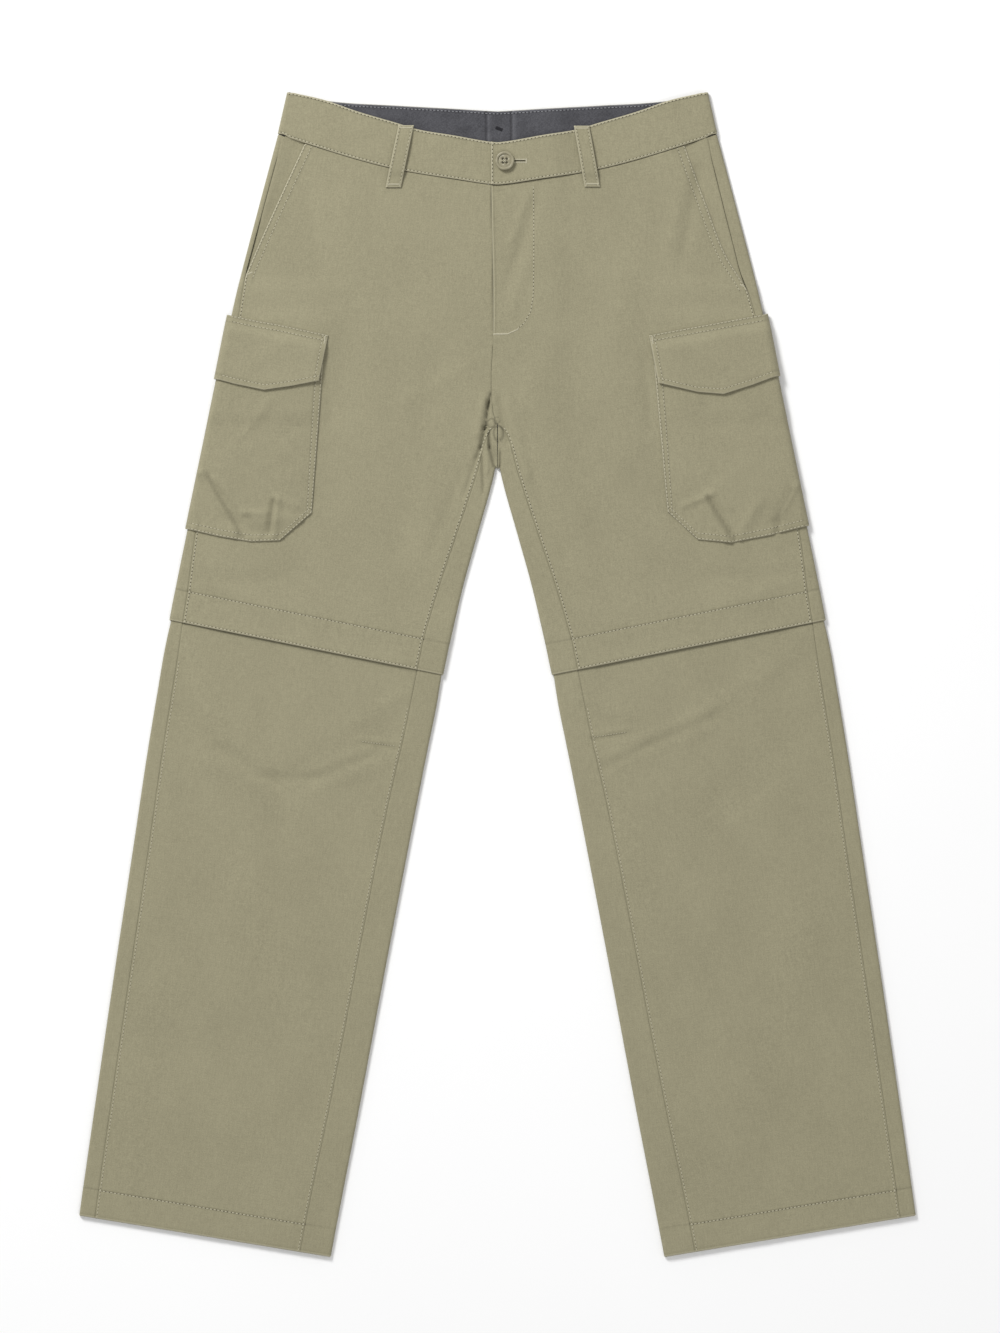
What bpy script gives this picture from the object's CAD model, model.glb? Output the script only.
import math

import bmesh
import bpy
import numpy as np
from mathutils import Matrix, Vector
from mathutils.bvhtree import BVHTree


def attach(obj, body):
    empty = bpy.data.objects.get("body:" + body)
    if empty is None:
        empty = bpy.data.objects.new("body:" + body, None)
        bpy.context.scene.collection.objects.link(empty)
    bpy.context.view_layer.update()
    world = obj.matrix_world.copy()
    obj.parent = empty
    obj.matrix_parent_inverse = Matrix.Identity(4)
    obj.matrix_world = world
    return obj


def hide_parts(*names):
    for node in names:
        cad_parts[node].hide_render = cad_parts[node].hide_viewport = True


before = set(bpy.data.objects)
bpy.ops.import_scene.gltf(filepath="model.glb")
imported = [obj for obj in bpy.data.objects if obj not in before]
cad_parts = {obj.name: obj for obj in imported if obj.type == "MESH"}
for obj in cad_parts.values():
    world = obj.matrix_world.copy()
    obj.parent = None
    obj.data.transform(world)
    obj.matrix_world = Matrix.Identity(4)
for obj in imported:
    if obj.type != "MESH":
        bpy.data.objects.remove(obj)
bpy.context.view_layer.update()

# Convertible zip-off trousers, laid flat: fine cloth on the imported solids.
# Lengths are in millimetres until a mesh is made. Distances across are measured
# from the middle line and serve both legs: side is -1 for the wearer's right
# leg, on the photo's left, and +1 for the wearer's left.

MM = 0.001
NAMES = {-1: "right", 1: "left"}

# Cloth as the solids have it
WALL = 1.2
HEM_WALL = 1.6
BAND_WALL = 1.8
FACING_WALL = 1.0
GAP = 0.3
SEAM_GAP = 0.08
LAYER = WALL + GAP
MIDDLE = GAP / 2
LEG_CLEAR, POCKET_CLEAR, FACING_CLEAR = 1.15, 1.05, 1.25
LEG_HEIGHT = 5.0
SHIN_HEIGHT = 5.2
BAND_HEIGHT = 6.9
HEM_LIFT = HEM_WALL + GAP
FLY_LIFT = LAYER
OVERLAP_LIFT = FLY_LIFT + 0.9
FOLD, HEM_FOLD = 2.6, 3.6

# Walls of the fine cloth
THIN, DOUBLED, TRIPLED = 0.7, 1.1, 1.5

# Crotch
APEX_Y, APEX_RADIUS, TIP_Y = 200.0, 2.0, 241.0

# Outline of one leg: height up the page, outer edge, inner edge
OUTLINE = (
    (521, 211.5, 0), (448, 231, 0), (361, 253.3, 0), (280, 270, 0), (200, 286.5, 2.0),
    (188, 289, 4.5), (159, 295, 12.3), (101, 306.9, 29.0), (57, 315.7, 40.0), (14, 322.8, 49.3),
    (-73, 337.3, 67.5), (-160, 350.3, 84.6), (-304, 372.0, 112.0), (-420, 388.9, 133.7),
    (-507, 401.4, 150.6), (-562, 409.0, 161.0),
)

# Seams on the upper face: height up the page, distance from the middle line
INSEAM = ((241, 0.3), (238, 4.0), (233, 8.0), (200, 18.0), (168, 28.0), (110, 49.0), (50, 67.5),
          (7, 77.0), (-62, 91.0), (-121, 104.5), (-411, 161.0), (-527, 185.0), (-562, 191.5))
OUTSEAM_INSET = {
    -1: ((521, 5), (420, 4.5), (379, 4.5), (348, 7), (139, 8), (78, 12), (-83, 14), (-562, 15)),
    1: ((521, 11), (420, 12.5), (381, 12), (363, 9), (348, 8), (139, 8), (78, 12), (-83, 14), (-562, 15)),
}
RISE_SEAM = ((520, -6.5), (472, -6.0), (330, -4.0), (280, -6.0), (252, -4.0), (241, 0.0))
MOUTH = {
    -1: ((520, 182.3), (512, 186.0), (446, 216.3), (385, 243.0), (380, 245.0)),
    1: ((520, 177.5), (512, 180.0), (457, 200.0), (403, 221.0), (379, 236.0), (368, 242.5)),
}

# Waist edges: distance from the middle line, height up the page
FRONT_TOP = ((-40, 513), (0, 513), (43, 520), (78, 526), (96, 531.5), (135, 543), (167, 554), (203, 562))
FRONT_BOTTOM = ((-40, 472), (0, 472), (43, 478), (87, 485), (106, 489), (140, 498), (186, 512.5), (212, 521))
BACK_TOP = ((0, 543), (50, 546), (96, 548.5), (166, 553.5), (203, 562))
BAND_DEPTH = 41.0
BAND_SIDE = ((212.0, 521.0), (203.0, 560.83))
BAND_FOLD = 3.0
BAND_UNDERLAP = 34.0

# Knee hem on the outer and inner edges: its stitch line and its lower edge
KNEE_STITCH = (83.0, 31.0)
KNEE_HEM = (52.5, -0.5)
KNEE_RISE = 45.0
KNEE_HEM_DEPTH = 30.5
SHIN_CLIMB = (1.0, 13.0)
LEG_HEM_DEPTH = 27.0

# Cloth rows of a thigh: outer edge, seat or inner edge, front's inner end
THIGH_ROWS = (
    (490, 455, 453), (462, 430, 428), (436, 405, 404), (410, 380, 381), (388, 356, 360),
    (366, 332, 338), (340, 305, 314), (315, 278, 290), (292, 252, 266), (270, 226, 252),
    (250, None, TIP_Y), (232, None, 236.5), (214, None, 229), (196, 188, 216), (176, 168, 196),
    (148, 132, 156), (116, 84, None), KNEE_STITCH + (None,), (68, 15.5, None), KNEE_HEM + (None,),
)
APEX_ROW = 10
APEX_TURNS = (0, 35, 70)
WAIST_SAG = (1.0, 0.6, 0.3, 0.0)

# Cloth rows of a shin: outer edge, inner edge
SHIN_ROWS = (
    (62.5, 10.5), (52.5, 0.5), (40, -12), (18, -36), (-12, -66), (-42, -97), (-76, -131),
    (-112, -166), (-152, -205), (-205, -255), (-262, -308), (-324, -368), (-386, -428),
    (-446, -487), (-495.5, -533.5), (-509, -548), (-521.5, -561.5),
)
TUCK = (1.0, 1.0, 0.5)
ZIP_ROWS = ((78.5, 26.5), (62.9, 10.9))

# Largest folds of the upper layer: side, start x y, end x y, half width, height
FOLDS = (
    (-1, 277, -86, 236, -101, 11, 0.9),
    (-1, 236, -101, 201, -133, 12, 0.8),
    (-1, 211, -101, 161, -103, 11, -0.8),
    (-1, 161, -103, 110, -84, 11, 0.8),
    (-1, 174, -82, 123, -65, 12, -0.6),
    (-1, 250, -200, 190, -330, 22, 0.5),
    (-1, 330, -300, 355, -480, 20, 0.5),
    (1, 297, 42, 254, -4, 13, 0.9),
    (1, 254, -4, 193, -48, 13, 0.8),
    (1, 193, -48, 127, -79, 12, 0.7),
    (1, 265, -79, 205, -131, 13, -0.8),
    (1, 109, -96, 141, -234, 14, 0.7),
    (1, 300, -230, 250, -400, 22, 0.5),
    (-1, 60, 330, 20, 262, 13, 0.8),
    (1, 62, 322, 22, 256, 13, 0.8),
    (-1, 120, 225, 60, 150, 16, 0.7),
    (1, 128, 215, 62, 140, 16, 0.7),
    (-1, 230, 95, 150, 60, 16, -0.5),
    (1, 220, 92, 140, 58, 16, -0.5),
)

# Creases of the fine cloth only: layer, side, start x y, end x y, half width, height
CREASES = (
    ("leg", -1, 131, -66.5, 99, -71.0, 2.0, -0.7),
    ("leg", -1, 131, -62.5, 99, -67.0, 3.0, 0.35),
    ("leg", 1, 90, -62.8, 124, -57.6, 2.0, -0.7),
    ("leg", 1, 90, -58.8, 124, -53.6, 3.0, 0.35),
    ("leg", -1, 6.6, 270, 9.0, 258, 1.3, -1.2),
    ("leg", -1, 8.6, 262, 12, 238, 1.7, -1.8),
    ("leg", -1, 12, 238, 16.4, 219, 1.8, -1.6),
    ("leg", -1, 16.4, 219, 20.5, 209, 1.6, -1.0),
    ("leg", -1, 21, 208, 32, 176, 2.6, -0.5),
    ("leg", -1, 13, 266, 19, 232, 3.5, 0.7),
    ("leg", -1, 8.2, 233, 7.6, 219, 1.6, -1.4),
    ("leg", -1, 7.6, 219, 3.6, 201, 1.5, -1.0),
    ("leg", -1, 15, 209, 14, 177, 1.5, -0.9),
    ("leg", -1, 11, 228, 9.5, 196, 2.0, 0.6),
    ("leg", 1, 2.8, 214, 2.8, 201, 1.2, -0.9),
    ("leg", -1, 306, -36, 270, -72, 6.0, -0.3),
    ("leg", -1, 270, -72, 214, -106, 5.0, -0.3),
    ("leg", -1, 262, -62, 210, -94, 7.0, 0.3),
    ("leg", -1, 214, -106, 203, -140, 5.0, -0.25),
    ("leg", -1, 239, -98, 178, -101, 5.0, -0.3),
    ("leg", -1, 178, -101, 117, -78, 5.0, -0.3),
    ("leg", -1, 172, -90, 120, -68, 6.0, 0.25),
    ("leg", 1, 106, -88, 147, -68, 5.0, -0.35),
    ("leg", 1, 147, -68, 208, -42, 5.5, -0.35),
    ("leg", 1, 208, -42, 243, -17, 6.0, -0.2),
    ("leg", 1, 112, -78, 205, -32, 7.0, 0.3),
    ("leg", 1, 208, -148, 268, -98, 8.0, -0.2),
    ("leg", 1, 104, -92, 112, -120, 5.0, -0.25),
    ("leg", 1, 3, 264, 10, 226, 3.0, -0.6),
    ("leg", 1, 10, 262, 30, 196, 5.0, 0.5),
    ("leg", 1, 26, 222, 44, 160, 6.0, -0.35),
    ("leg", -1, 22, 300, 90, 262, 8.0, 0.25),
    ("leg", 1, 18, 306, 96, 250, 9.0, 0.25),
    ("leg", -1, 36, 190, 64, 118, 6.0, -0.3),
    ("leg", 1, 36, 194, 66, 112, 6.0, -0.3),
    ("leg", 1, 30, 462, 14, 420, 4.0, 0.3),
    ("leg", 1, 36, 452, 22, 404, 5.0, -0.3),
    ("leg", 1, 195, 484, 178, 400, 6.0, -0.4),
    ("leg", 1, 183, 488, 168, 420, 7.0, 0.3),
    ("leg", -1, 186, 480, 172, 396, 8.0, -0.3),
    ("leg", -1, 60, 300, 96, 120, 15.0, -0.45),
    ("leg", 1, 66, 300, 98, 130, 15.0, -0.4),
    ("leg", -1, 150, 440, 120, 340, 16.0, 0.4),
    ("leg", 1, 140, 440, 118, 330, 16.0, 0.35),
    ("leg", 1, 24, 420, 8, 372, 5.0, -0.3),
    ("leg", 1, 28, 392, 14, 352, 5.0, 0.25),
    ("leg", -1, 166, 300, 160, 250, 6.0, -0.3),
    ("leg", 1, 142, 300, 148, 240, 6.0, -0.4),
    ("leg", -1, 210, 60, 284, 88, 7.0, 0.25),
    ("leg", 1, 214, 66, 290, 92, 7.0, 0.25),
    ("leg", -1, 300, 22, 272, -40, 9.0, 0.35),
    ("leg", -1, 92, -20, 132, -44, 8.0, 0.3),
    ("leg", 1, 84, -24, 120, -38, 8.0, 0.3),
    ("pocket", -1, 284, 194, 252, 138, 3.2, 1.1),
    ("pocket", -1, 279, 190, 246, 134, 3.0, -0.9),
    ("pocket", -1, 272, 188, 243, 156, 3.0, 0.7),
    ("pocket", -1, 243, 156, 224, 156, 3.4, 0.8),
    ("pocket", -1, 216, 168, 221, 138, 2.2, -1.1),
    ("pocket", -1, 212, 168, 215, 136, 3.4, 0.9),
    ("pocket", -1, 214, 170, 195, 161, 2.6, 0.8),
    ("pocket", -1, 230, 150, 196, 150, 6.0, 0.6),
    ("pocket", -1, 244, 232, 221, 262, 5.0, 0.4),
    ("pocket", -1, 252, 254, 244, 226, 5.0, -0.3),
    ("pocket", -1, 262, 150, 236, 138, 5.0, -0.5),
    ("pocket", 1, 203, 171, 228, 131, 2.4, -1.1),
    ("pocket", 1, 199, 168, 222, 129, 3.4, 0.9),
    ("pocket", 1, 181, 163, 206, 174, 2.6, 0.8),
    ("pocket", 1, 206, 174, 222, 160, 3.0, 0.7),
    ("pocket", 1, 287, 181, 271, 152, 3.2, 1.0),
    ("pocket", 1, 283, 178, 267, 148, 3.0, -0.8),
    ("pocket", 1, 272, 152, 269, 134, 2.6, -0.9),
    ("pocket", 1, 250, 164, 236, 138, 5.0, 0.6),
    ("pocket", 1, 190, 262, 214, 226, 6.0, 0.35),
    ("flap", -1, 236, 300, 200, 322, 9.0, 0.25),
    ("flap", 1, 232, 296, 192, 318, 9.0, 0.25),
)

# Puckered ovals where the rise seam meets the inseams: x y, half width, half height, rise
KNOTS = ((-5.7, 242.5, 3.5, 4.0, 0.7), (-0.5, 245.0, 2.7, 3.2, 0.6), (1.0, 232.5, 4.4, 6.8, 0.8))

# Cargo pockets: corners of the top and bottom edges from the side fold inwards
POCKETS = {
    -1: {
        "pocket": (((261, 318), (237, 313), (213, 308), (190, 303), (168, 299)),
                   ((300, 140), (268, 133), (238, 128), (210, 129), (179, 156))),
        "flap": (((256, 346), (233, 341), (210, 337), (187, 332), (163, 327)),
                 ((271, 284), (254, 280), (225, 274), (198, 278), (172, 283))),
    },
    1: {
        "pocket": (((261, 318), (234, 312), (206, 307), (179, 302), (151, 298)),
                   ((300, 143), (262, 134), (225, 127), (193, 130), (164, 157))),
        "flap": (((257, 347), (229, 342), (202, 337), (174, 332), (146, 327)),
                 ((272, 287), (246, 279), (218, 270), (193, 272), (155, 281))),
    },
}
POCKET_WRAP = 60.0
RAISED_ACROSS = (26.0, 62.0)
RAISED_ALONG = (22.0, 40.0)
WRAP_DROP = {"pocket": 12.0, "flap": 8.0}
POCKET_STAND = LAYER + 0.3
POCKET_REACH, FLAP_REACH = 2.4, 4.4
POCKET_SLACK = 1.6

# Belt loops: side, top x y, bottom x y
FRONT_LOOPS = ((-1, 88, 529.5, 100.5, 469.5), (1, 81, 529, 91.5, 470))
BACK_LOOPS = (("centre", 0.0), ("right", -112.0), ("left", 112.0))
LOOP_WIDTH, LOOP_LENGTH, LOOP_SLACK = 15.0, 60.0, 1.9
LOOPS_RAISE_ACROSS = (192.0, 150.0)
LOOPS_RAISE_BELOW = (45.0, 22.0)

# Fly and button
FLY_END_Y = 328.0
UNDERLAP = 12.0
ZIP_EDGE_X, ZIP_WIDTH = 8.6, 18.0
FACING_UNDERLAP, FACING_REACH = 12.0, 191.0
FACING_LEVELS = (0.03, 0.993)
BUTTON_X, BUTTON_Y = 7.0, 495.0
BUTTON_RADIUS, BUTTON_DEPTH, BUTTON_SHANK = 9.2, 3.2, 1.0
FLAP_LIFT, HEM_GAPE = 0.9, 1.0
HOLE_RADIUS, HOLE_SPREAD = 1.2, 2.35
SLOT_LENGTH, SLOT_WIDTH, SLOT_SHIFT = 24.0, 1.2, 8.0
FLY_STITCH = ((34.5, 471), (35, 440), (35, 400), (34.5, 366), (32, 350), (26, 339), (18, 332), (9, 328))

# Fineness of the meshes
STEP = 2.3
SOFT_CREASE, SHARP_CREASE, POCKET_CREASE = 2.6, 1.6, 2.2
SHARP_WIDTH = 2.6
HIDDEN_STEP = 9.0
EDGE = (0.0, 0.3, 0.7, 1.2, 1.9, 2.8, 4.0, 5.6)
BESIDE = (-2.2, -1.1, -0.5, 0.0, 0.5, 1.1, 2.2)
ARC_STEPS = 8

# Stitches
STITCH_PITCH, STITCH_LENGTH = 3.6, 2.5
THREAD = 0.42
NEEDLE_HOLE = 0.55
FAINT = {"thread": 0.35, "hole": 0.38}

# Colours as light reflected, red green blue
KHAKI_DARK = (0.218, 0.200, 0.128, 1.0)
KHAKI_LIGHT = (0.344, 0.318, 0.208, 1.0)
KHAKI_EDGE = (0.50, 0.465, 0.335, 1.0)
KHAKI_THREAD = (0.50, 0.47, 0.345, 1.0)
KHAKI_HOLE = (0.04, 0.035, 0.022, 1.0)
BUTTON_DARK = (0.235, 0.213, 0.14, 1.0)
BUTTON_LIGHT = (0.32, 0.295, 0.20, 1.0)
GREY_DARK = (0.032, 0.032, 0.037, 1.0)
GREY_LIGHT = (0.104, 0.104, 0.114, 1.0)
GREY_THREAD = (0.30, 0.30, 0.32, 1.0)
GREY_HOLE = (0.02, 0.02, 0.024, 1.0)
TAPE_DARK = (0.17, 0.155, 0.11, 1.0)
TAPE_LIGHT = (0.23, 0.21, 0.15, 1.0)
WHITE = (0.93, 0.93, 0.93, 1.0)


# Numbers

def curve(points):
    """A smooth function through (key, value) pairs."""
    keys, values = np.array(sorted(points), float).T
    steps = np.diff(values) / np.diff(keys)
    slopes = np.concatenate([steps[:1], (steps[:-1] + steps[1:]) / 2, steps[-1:]])

    def value(key):
        key = np.asarray(key, float)
        i = np.clip(np.searchsorted(keys, key) - 1, 0, len(keys) - 2)
        span = keys[i + 1] - keys[i]
        t = np.clip((key - keys[i]) / span, 0, 1)
        a = values[i] * (1 + 2 * t) * (1 - t) ** 2 + slopes[i] * span * t * (1 - t) ** 2
        b = values[i + 1] * t * t * (3 - 2 * t) + slopes[i + 1] * span * t * t * (t - 1)
        before = slopes[0] * np.minimum(0, key - keys[0])
        return a + b + before + slopes[-1] * np.maximum(0, key - keys[-1])

    return value


def ease(value, start, end):
    """0 before start, 1 after end, smooth between; start may be the larger."""
    t = np.clip((value - start) / (end - start), 0.0, 1.0)
    return t * t * (3 - 2 * t)


def mix(a, b, t):
    return a + (b - a) * t


def bump(distance, width):
    return np.exp(-(distance / width) ** 2)


def ripple(along, seed, shortest=5.5, longest=13.0):
    """An uneven wave from -1 to 1 along a seam."""
    draw = np.random.default_rng(seed)
    total = 0
    for _ in range(5):
        total = total + np.sin(2 * math.pi * (along / draw.uniform(shortest, longest) + draw.random()))
    return total / 3


def mottle(x, y, seed, shortest=28.0, longest=95.0):
    """Low uneven hills all over a panel, from about -1 to 1."""
    draw = np.random.default_rng(seed)
    total = 0
    for _ in range(14):
        angle, wave = draw.uniform(0, math.pi), draw.uniform(shortest, longest)
        across = x * math.cos(angle) + y * math.sin(angle)
        total = total + np.sin(2 * math.pi * (across / wave + draw.random()))
    return total / 4


outer_edge = curve([(y, outer) for y, outer, _ in OUTLINE])
inner_edge = curve([(y, inner) for y, _, inner in OUTLINE if y <= APEX_Y])
inseam = curve(INSEAM)
outseam_inset = {side: curve(rows) for side, rows in OUTSEAM_INSET.items()}
rise_seam = curve(RISE_SEAM)
mouth = {side: curve(rows) for side, rows in MOUTH.items()}
front_top = curve(FRONT_TOP)
front_bottom = curve(FRONT_BOTTOM)
back_top = curve(BACK_TOP)


# Heights of the layers

def hem_line(x, ends):
    """Height up the page, at distance x, of a line from edge to edge of the leg."""
    outer_x, inner_x = outer_edge(ends[0]), inner_edge(ends[1])
    return mix(ends[0], ends[1], (outer_x - x) / (outer_x - inner_x))


def under_layers(x, y, side):
    """How many layers lie under the back of the leg: pocket, flap and belt loops."""
    layers = []
    near, far = RAISED_ALONG
    inner = outer_edge(y) - POCKET_WRAP
    for kind, drop in WRAP_DROP.items():
        top_edge, bottom_edge = POCKETS[side][kind]
        low, high = bottom_edge[0][1] - drop, top_edge[0][1]
        across = ease(x, inner - RAISED_ACROSS[1], inner - RAISED_ACROSS[0])
        layers.append(across * ease(y, low - far, low - near) * ease(y, high + far, high + near))
    low = back_top(x) - LOOP_LENGTH
    below = ease(y, low - LOOPS_RAISE_BELOW[0], low - LOOPS_RAISE_BELOW[1])
    layers.append(ease(x, *LOOPS_RAISE_ACROSS) * below)
    return layers


def under(x, y, side):
    """Height of the outer face of the back of the leg above the surface."""
    return LEG_CLEAR * LAYER * sum(under_layers(x, y, side))


def ridge(x, y, row):
    """A soft ridge or trough along a line: start x y, end x y, half width, height."""
    x0, y0, x1, y1, width, height = row
    dx, dy = x1 - x0, y1 - y0
    length = math.hypot(dx, dy)
    along = ((x - x0) * dx + (y - y0) * dy) / length
    beyond = np.maximum(0, np.maximum(-along, along - length))
    across = ((x - x0) * dy - (y - y0) * dx) / length
    return height * np.exp(-(across / width) ** 2 - (beyond / (1.5 * width)) ** 2)


def folds(x, y, side):
    return sum(ridge(x, y, row[1:]) for row in FOLDS if row[0] == side)


def creases(x, y, side, layer):
    total = 0.0
    for row in CREASES:
        if row[:2] == (layer, side):
            on_leg = SHARP_CREASE if row[6] <= SHARP_WIDTH else SOFT_CREASE
            total += ridge(x, y, row[2:]) * (on_leg if layer == "leg" else POCKET_CREASE)
    if layer == "leg":
        for knot_x, knot_y, half_width, half_height, rise in KNOTS:
            reach = np.hypot((side * x - knot_x) / half_width, (y - knot_y) / half_height)
            total += rise * np.clip(1 - reach ** 2, 0, 1)
    return total


def hollows(x, y, side, layer="leg", widest=SHARP_WIDTH, gain=0.6):
    """How deep in the sharp folds a point lies, where the cloth looks darker."""
    sharp = [row for row in CREASES if row[:2] == (layer, side) and row[6] <= widest and row[7] < 0]
    total = sum(ridge(x, y, row[2:6] + (0.62 * row[6], -gain * row[7])) for row in sharp)
    if layer == "leg":
        for knot_x, knot_y, half_width, half_height, rise in KNOTS:
            reach = np.hypot((side * x - knot_x) / half_width, (y - knot_y) / half_height)
            total = total + rise * bump(reach - 1.05, 0.18)
        shade_x, shade_y = (side * x + 3.5) / 4.5, (y - 213) / 11
        total = total + 0.3 * bump(np.hypot(shade_x, shade_y), 0.8)
    return np.clip(total, 0, 1.1)


def under_hem(x, y):
    """How far into the dark line below the knee hem a point of the lower leg lies."""
    return 0.85 * bump(hem_line(x, KNEE_HEM) - y - 0.4, 1.3)


def edge_fade(x, y):
    """Keeps folds off the rounded edges, so that these stay even."""
    inner = np.where(y < APEX_Y, inner_edge(y), -60.0)
    return ease(outer_edge(y) - x, 0, 25) * ease(x - inner, 0, 25)


def relief(x, y, side):
    """The fine cloth's own creases and hills on a leg."""
    hills = 0.11 * mottle(x, y, 5 + side) * edge_fade(x, y)
    return creases(x, y, side, "leg") + hills


def thigh_top(x, y, side):
    lift = 0.6 * ease(y - front_bottom(x), -60, -5)
    knee_rise = ease(y - hem_line(x, KNEE_STITCH), KNEE_RISE, 0)
    rise = (SHIN_HEIGHT + HEM_LIFT - LEG_HEIGHT) * knee_rise
    under_pocket, under_flap, _ = under_layers(x, y, side)
    raised = LAYER * (under_pocket + under_flap)
    shape = folds(x, y, side) * edge_fade(x, y) + relief(x, y, side)
    return LEG_HEIGHT + lift + rise + raised + shape


def shin_under(x, y):
    """The back of the shin climbs over the thigh's hem at the knee."""
    below = hem_line(x, KNEE_HEM) - y
    return HEM_LIFT * ease(below, SHIN_CLIMB[1], SHIN_CLIMB[0])


def shin_top(x, y, side):
    clear = ease(hem_line(x, KNEE_HEM) - y, -6, 6)
    shape = folds(x, y, side) * edge_fade(x, y) + relief(x, y, side) * clear
    return SHIN_HEIGHT + shape


def fly_lift(x, y, side):
    """The wearer's left front rides over the right one at the fly."""
    if side < 0:
        return 0.0
    return FLY_LIFT * ease(x, 75, 50) * ease(y, FLY_END_Y - 28, FLY_END_Y + 8)


def band_top(x, side):
    """Height of the front waistband; the wearer's left end lies over the right one."""
    if side < 0:
        return BAND_HEIGHT + 0.0 * x
    return BAND_HEIGHT + OVERLAP_LIFT * ease(x, 80, 52)


# Places of seams and folds

def slope(function, y):
    return (function(y + 1) - function(y - 1)) / 2


def outer_fold(y, half_width):
    """Centre line point of the outer fold, and the way out of the cloth there."""
    lean = slope(outer_edge, y)
    scale = np.hypot(1, lean)
    out = np.stack([1 / scale, -lean / scale], -1)
    at = np.stack([outer_edge(y), y + 0 * lean], -1)
    return at - np.asarray(half_width)[..., None] * out, out


def inner_fold(y, half_width):
    lean = slope(inner_edge, y)
    scale = np.hypot(1, lean)
    out = np.stack([-1 / scale, lean / scale], -1)
    at = np.stack([inner_edge(y), y + 0 * lean], -1)
    return at - np.asarray(half_width)[..., None] * out, out


def apex_fold(turn, half_width):
    """The inner fold where it rounds the top of the gap between the legs."""
    angle = math.radians(turn)
    out = np.array([-math.sin(angle), -math.cos(angle)])
    centre = np.array([MIDDLE, APEX_Y - APEX_RADIUS])
    return centre - (APEX_RADIUS + half_width) * out, out


def outseam_point(y, side, tilt=0.0):
    inset = outseam_inset[side](y)
    return np.array([outer_edge(y) - inset, y - tilt * inset])


def row_tilt(outer_y, inner_y):
    """Drop per millimetre across of a row that runs straight from edge to edge."""
    return (outer_y - inner_y) / (outer_edge(outer_y) - inner_edge(inner_y))


def row_inseam(outer_y, inner_y):
    """The inseam point of such a row."""
    x = inseam(inner_y + 6)
    return np.array([x, inner_y + row_tilt(outer_y, inner_y) * (x - inner_edge(inner_y))])


def back_bottom(x):
    """Lower edge of the waistband at the back."""
    return back_top(x) - BAND_DEPTH


def centre_edge(y, side):
    """Middle edge of a front, as a distance that may cross the middle line."""
    seam = rise_seam(y)
    if side > 0:
        return seam
    return -seam + SEAM_GAP - ease(y, FLY_END_Y - 12, FLY_END_Y + 2) * UNDERLAP


def seam_gap(points, towards):
    """The same points moved a seam gap towards others."""
    way = towards - points
    return points + SEAM_GAP * way / np.linalg.norm(way, axis=-1, keepdims=True)


WAIST_Y = float(front_bottom(212)) - GAP


def thigh_anchors(side):
    """Where each coarse row of a thigh meets its folds and seams."""
    found = {key: [] for key in ("outer", "out", "half", "inner", "way", "seam", "edge", "left", "right")}
    for number, (outer_y, inner_y, seam_y) in enumerate(((WAIST_Y, None, 474.0),) + THIGH_ROWS):
        half = float(mix(FOLD, HEM_FOLD, ease(outer_y, 150, 85)))
        outer, out = outer_fold(outer_y, half)
        way = np.array([0.0, -1.0])
        edge = np.array([MIDDLE, TIP_Y])
        if number == 0:
            inner = np.array([MIDDLE, back_bottom(0) - GAP])
        elif number <= APEX_ROW:
            inner = np.array([MIDDLE, inner_y])
        elif inner_y is None:
            inner, way = apex_fold(APEX_TURNS[number - 1 - APEX_ROW], half)
        else:
            inner, way = inner_fold(inner_y, half)
        if seam_y is None:
            seam = outseam_point(outer_y, side, row_tilt(outer_y, inner_y))
            edge = row_inseam(outer_y, inner_y)
        else:
            seam = outseam_point(outer_y, side)
            if seam_y <= TIP_Y:
                edge = np.array([max(MIDDLE, inseam(seam_y)), seam_y])
        if number == 0:
            seam[1] = front_bottom(seam[0]) - GAP
        left = seam - (SEAM_GAP, 0)
        right = edge
        if seam_y is None or seam_y <= TIP_Y:
            right = seam_gap(edge, left)
        else:
            right = np.array([centre_edge(seam_y, side), seam_y])
        if number == 0:
            left = np.array([mouth[side](514), front_bottom(mouth[side](514)) - GAP])
            right[1] = front_bottom(right[0]) - GAP
        for key, value in (("outer", outer), ("out", out), ("half", [half]), ("inner", inner),
                           ("way", way), ("seam", seam), ("edge", edge), ("left", left), ("right", right)):
            found[key].append(value)
    return {key: np.array(rows, float) for key, rows in found.items()}


def shin_anchors(side):
    """Where each coarse row of a shin meets its folds and seams."""
    found = {key: [] for key in ("outer", "out", "half", "inner", "way", "seam", "edge")}
    for number, (outer_y, inner_y) in enumerate(SHIN_ROWS):
        tucked = TUCK[number] if number < len(TUCK) else 0.0
        half = mix(FOLD, HEM_FOLD - HEM_LIFT, tucked)
        outer, out = outer_fold(outer_y, mix(FOLD, HEM_FOLD, tucked))
        inner, way = inner_fold(inner_y, mix(FOLD, HEM_FOLD, tucked))
        seam = outseam_point(outer_y, side, row_tilt(outer_y, inner_y))
        edge = row_inseam(outer_y, inner_y)
        for key, value in (("outer", outer), ("out", out), ("half", [half]), ("inner", inner),
                           ("way", way), ("seam", seam), ("edge", edge)):
            found[key].append(value)
    return {key: np.array(rows, float) for key, rows in found.items()}


# Grids of points

def spread(length, step, first=True, last=True, lines=()):
    """Distances from 0 to length, a step apart, closer at the ends and beside stitched lines."""
    close = [0.0, length]
    close += [d for d in EDGE if first] + [length - d for d in EDGE if last]
    close += [line + d for line in lines for d in BESIDE]
    close = np.unique(np.round([d for d in close if 0 <= d <= length], 3))
    even = np.linspace(0, length, max(2, round(length / step) + 1))
    apart = np.abs(even[:, None] - close[None, :]).min(axis=1)
    return np.sort(np.concatenate([close, even[apart > 0.4 * step]]))


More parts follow.
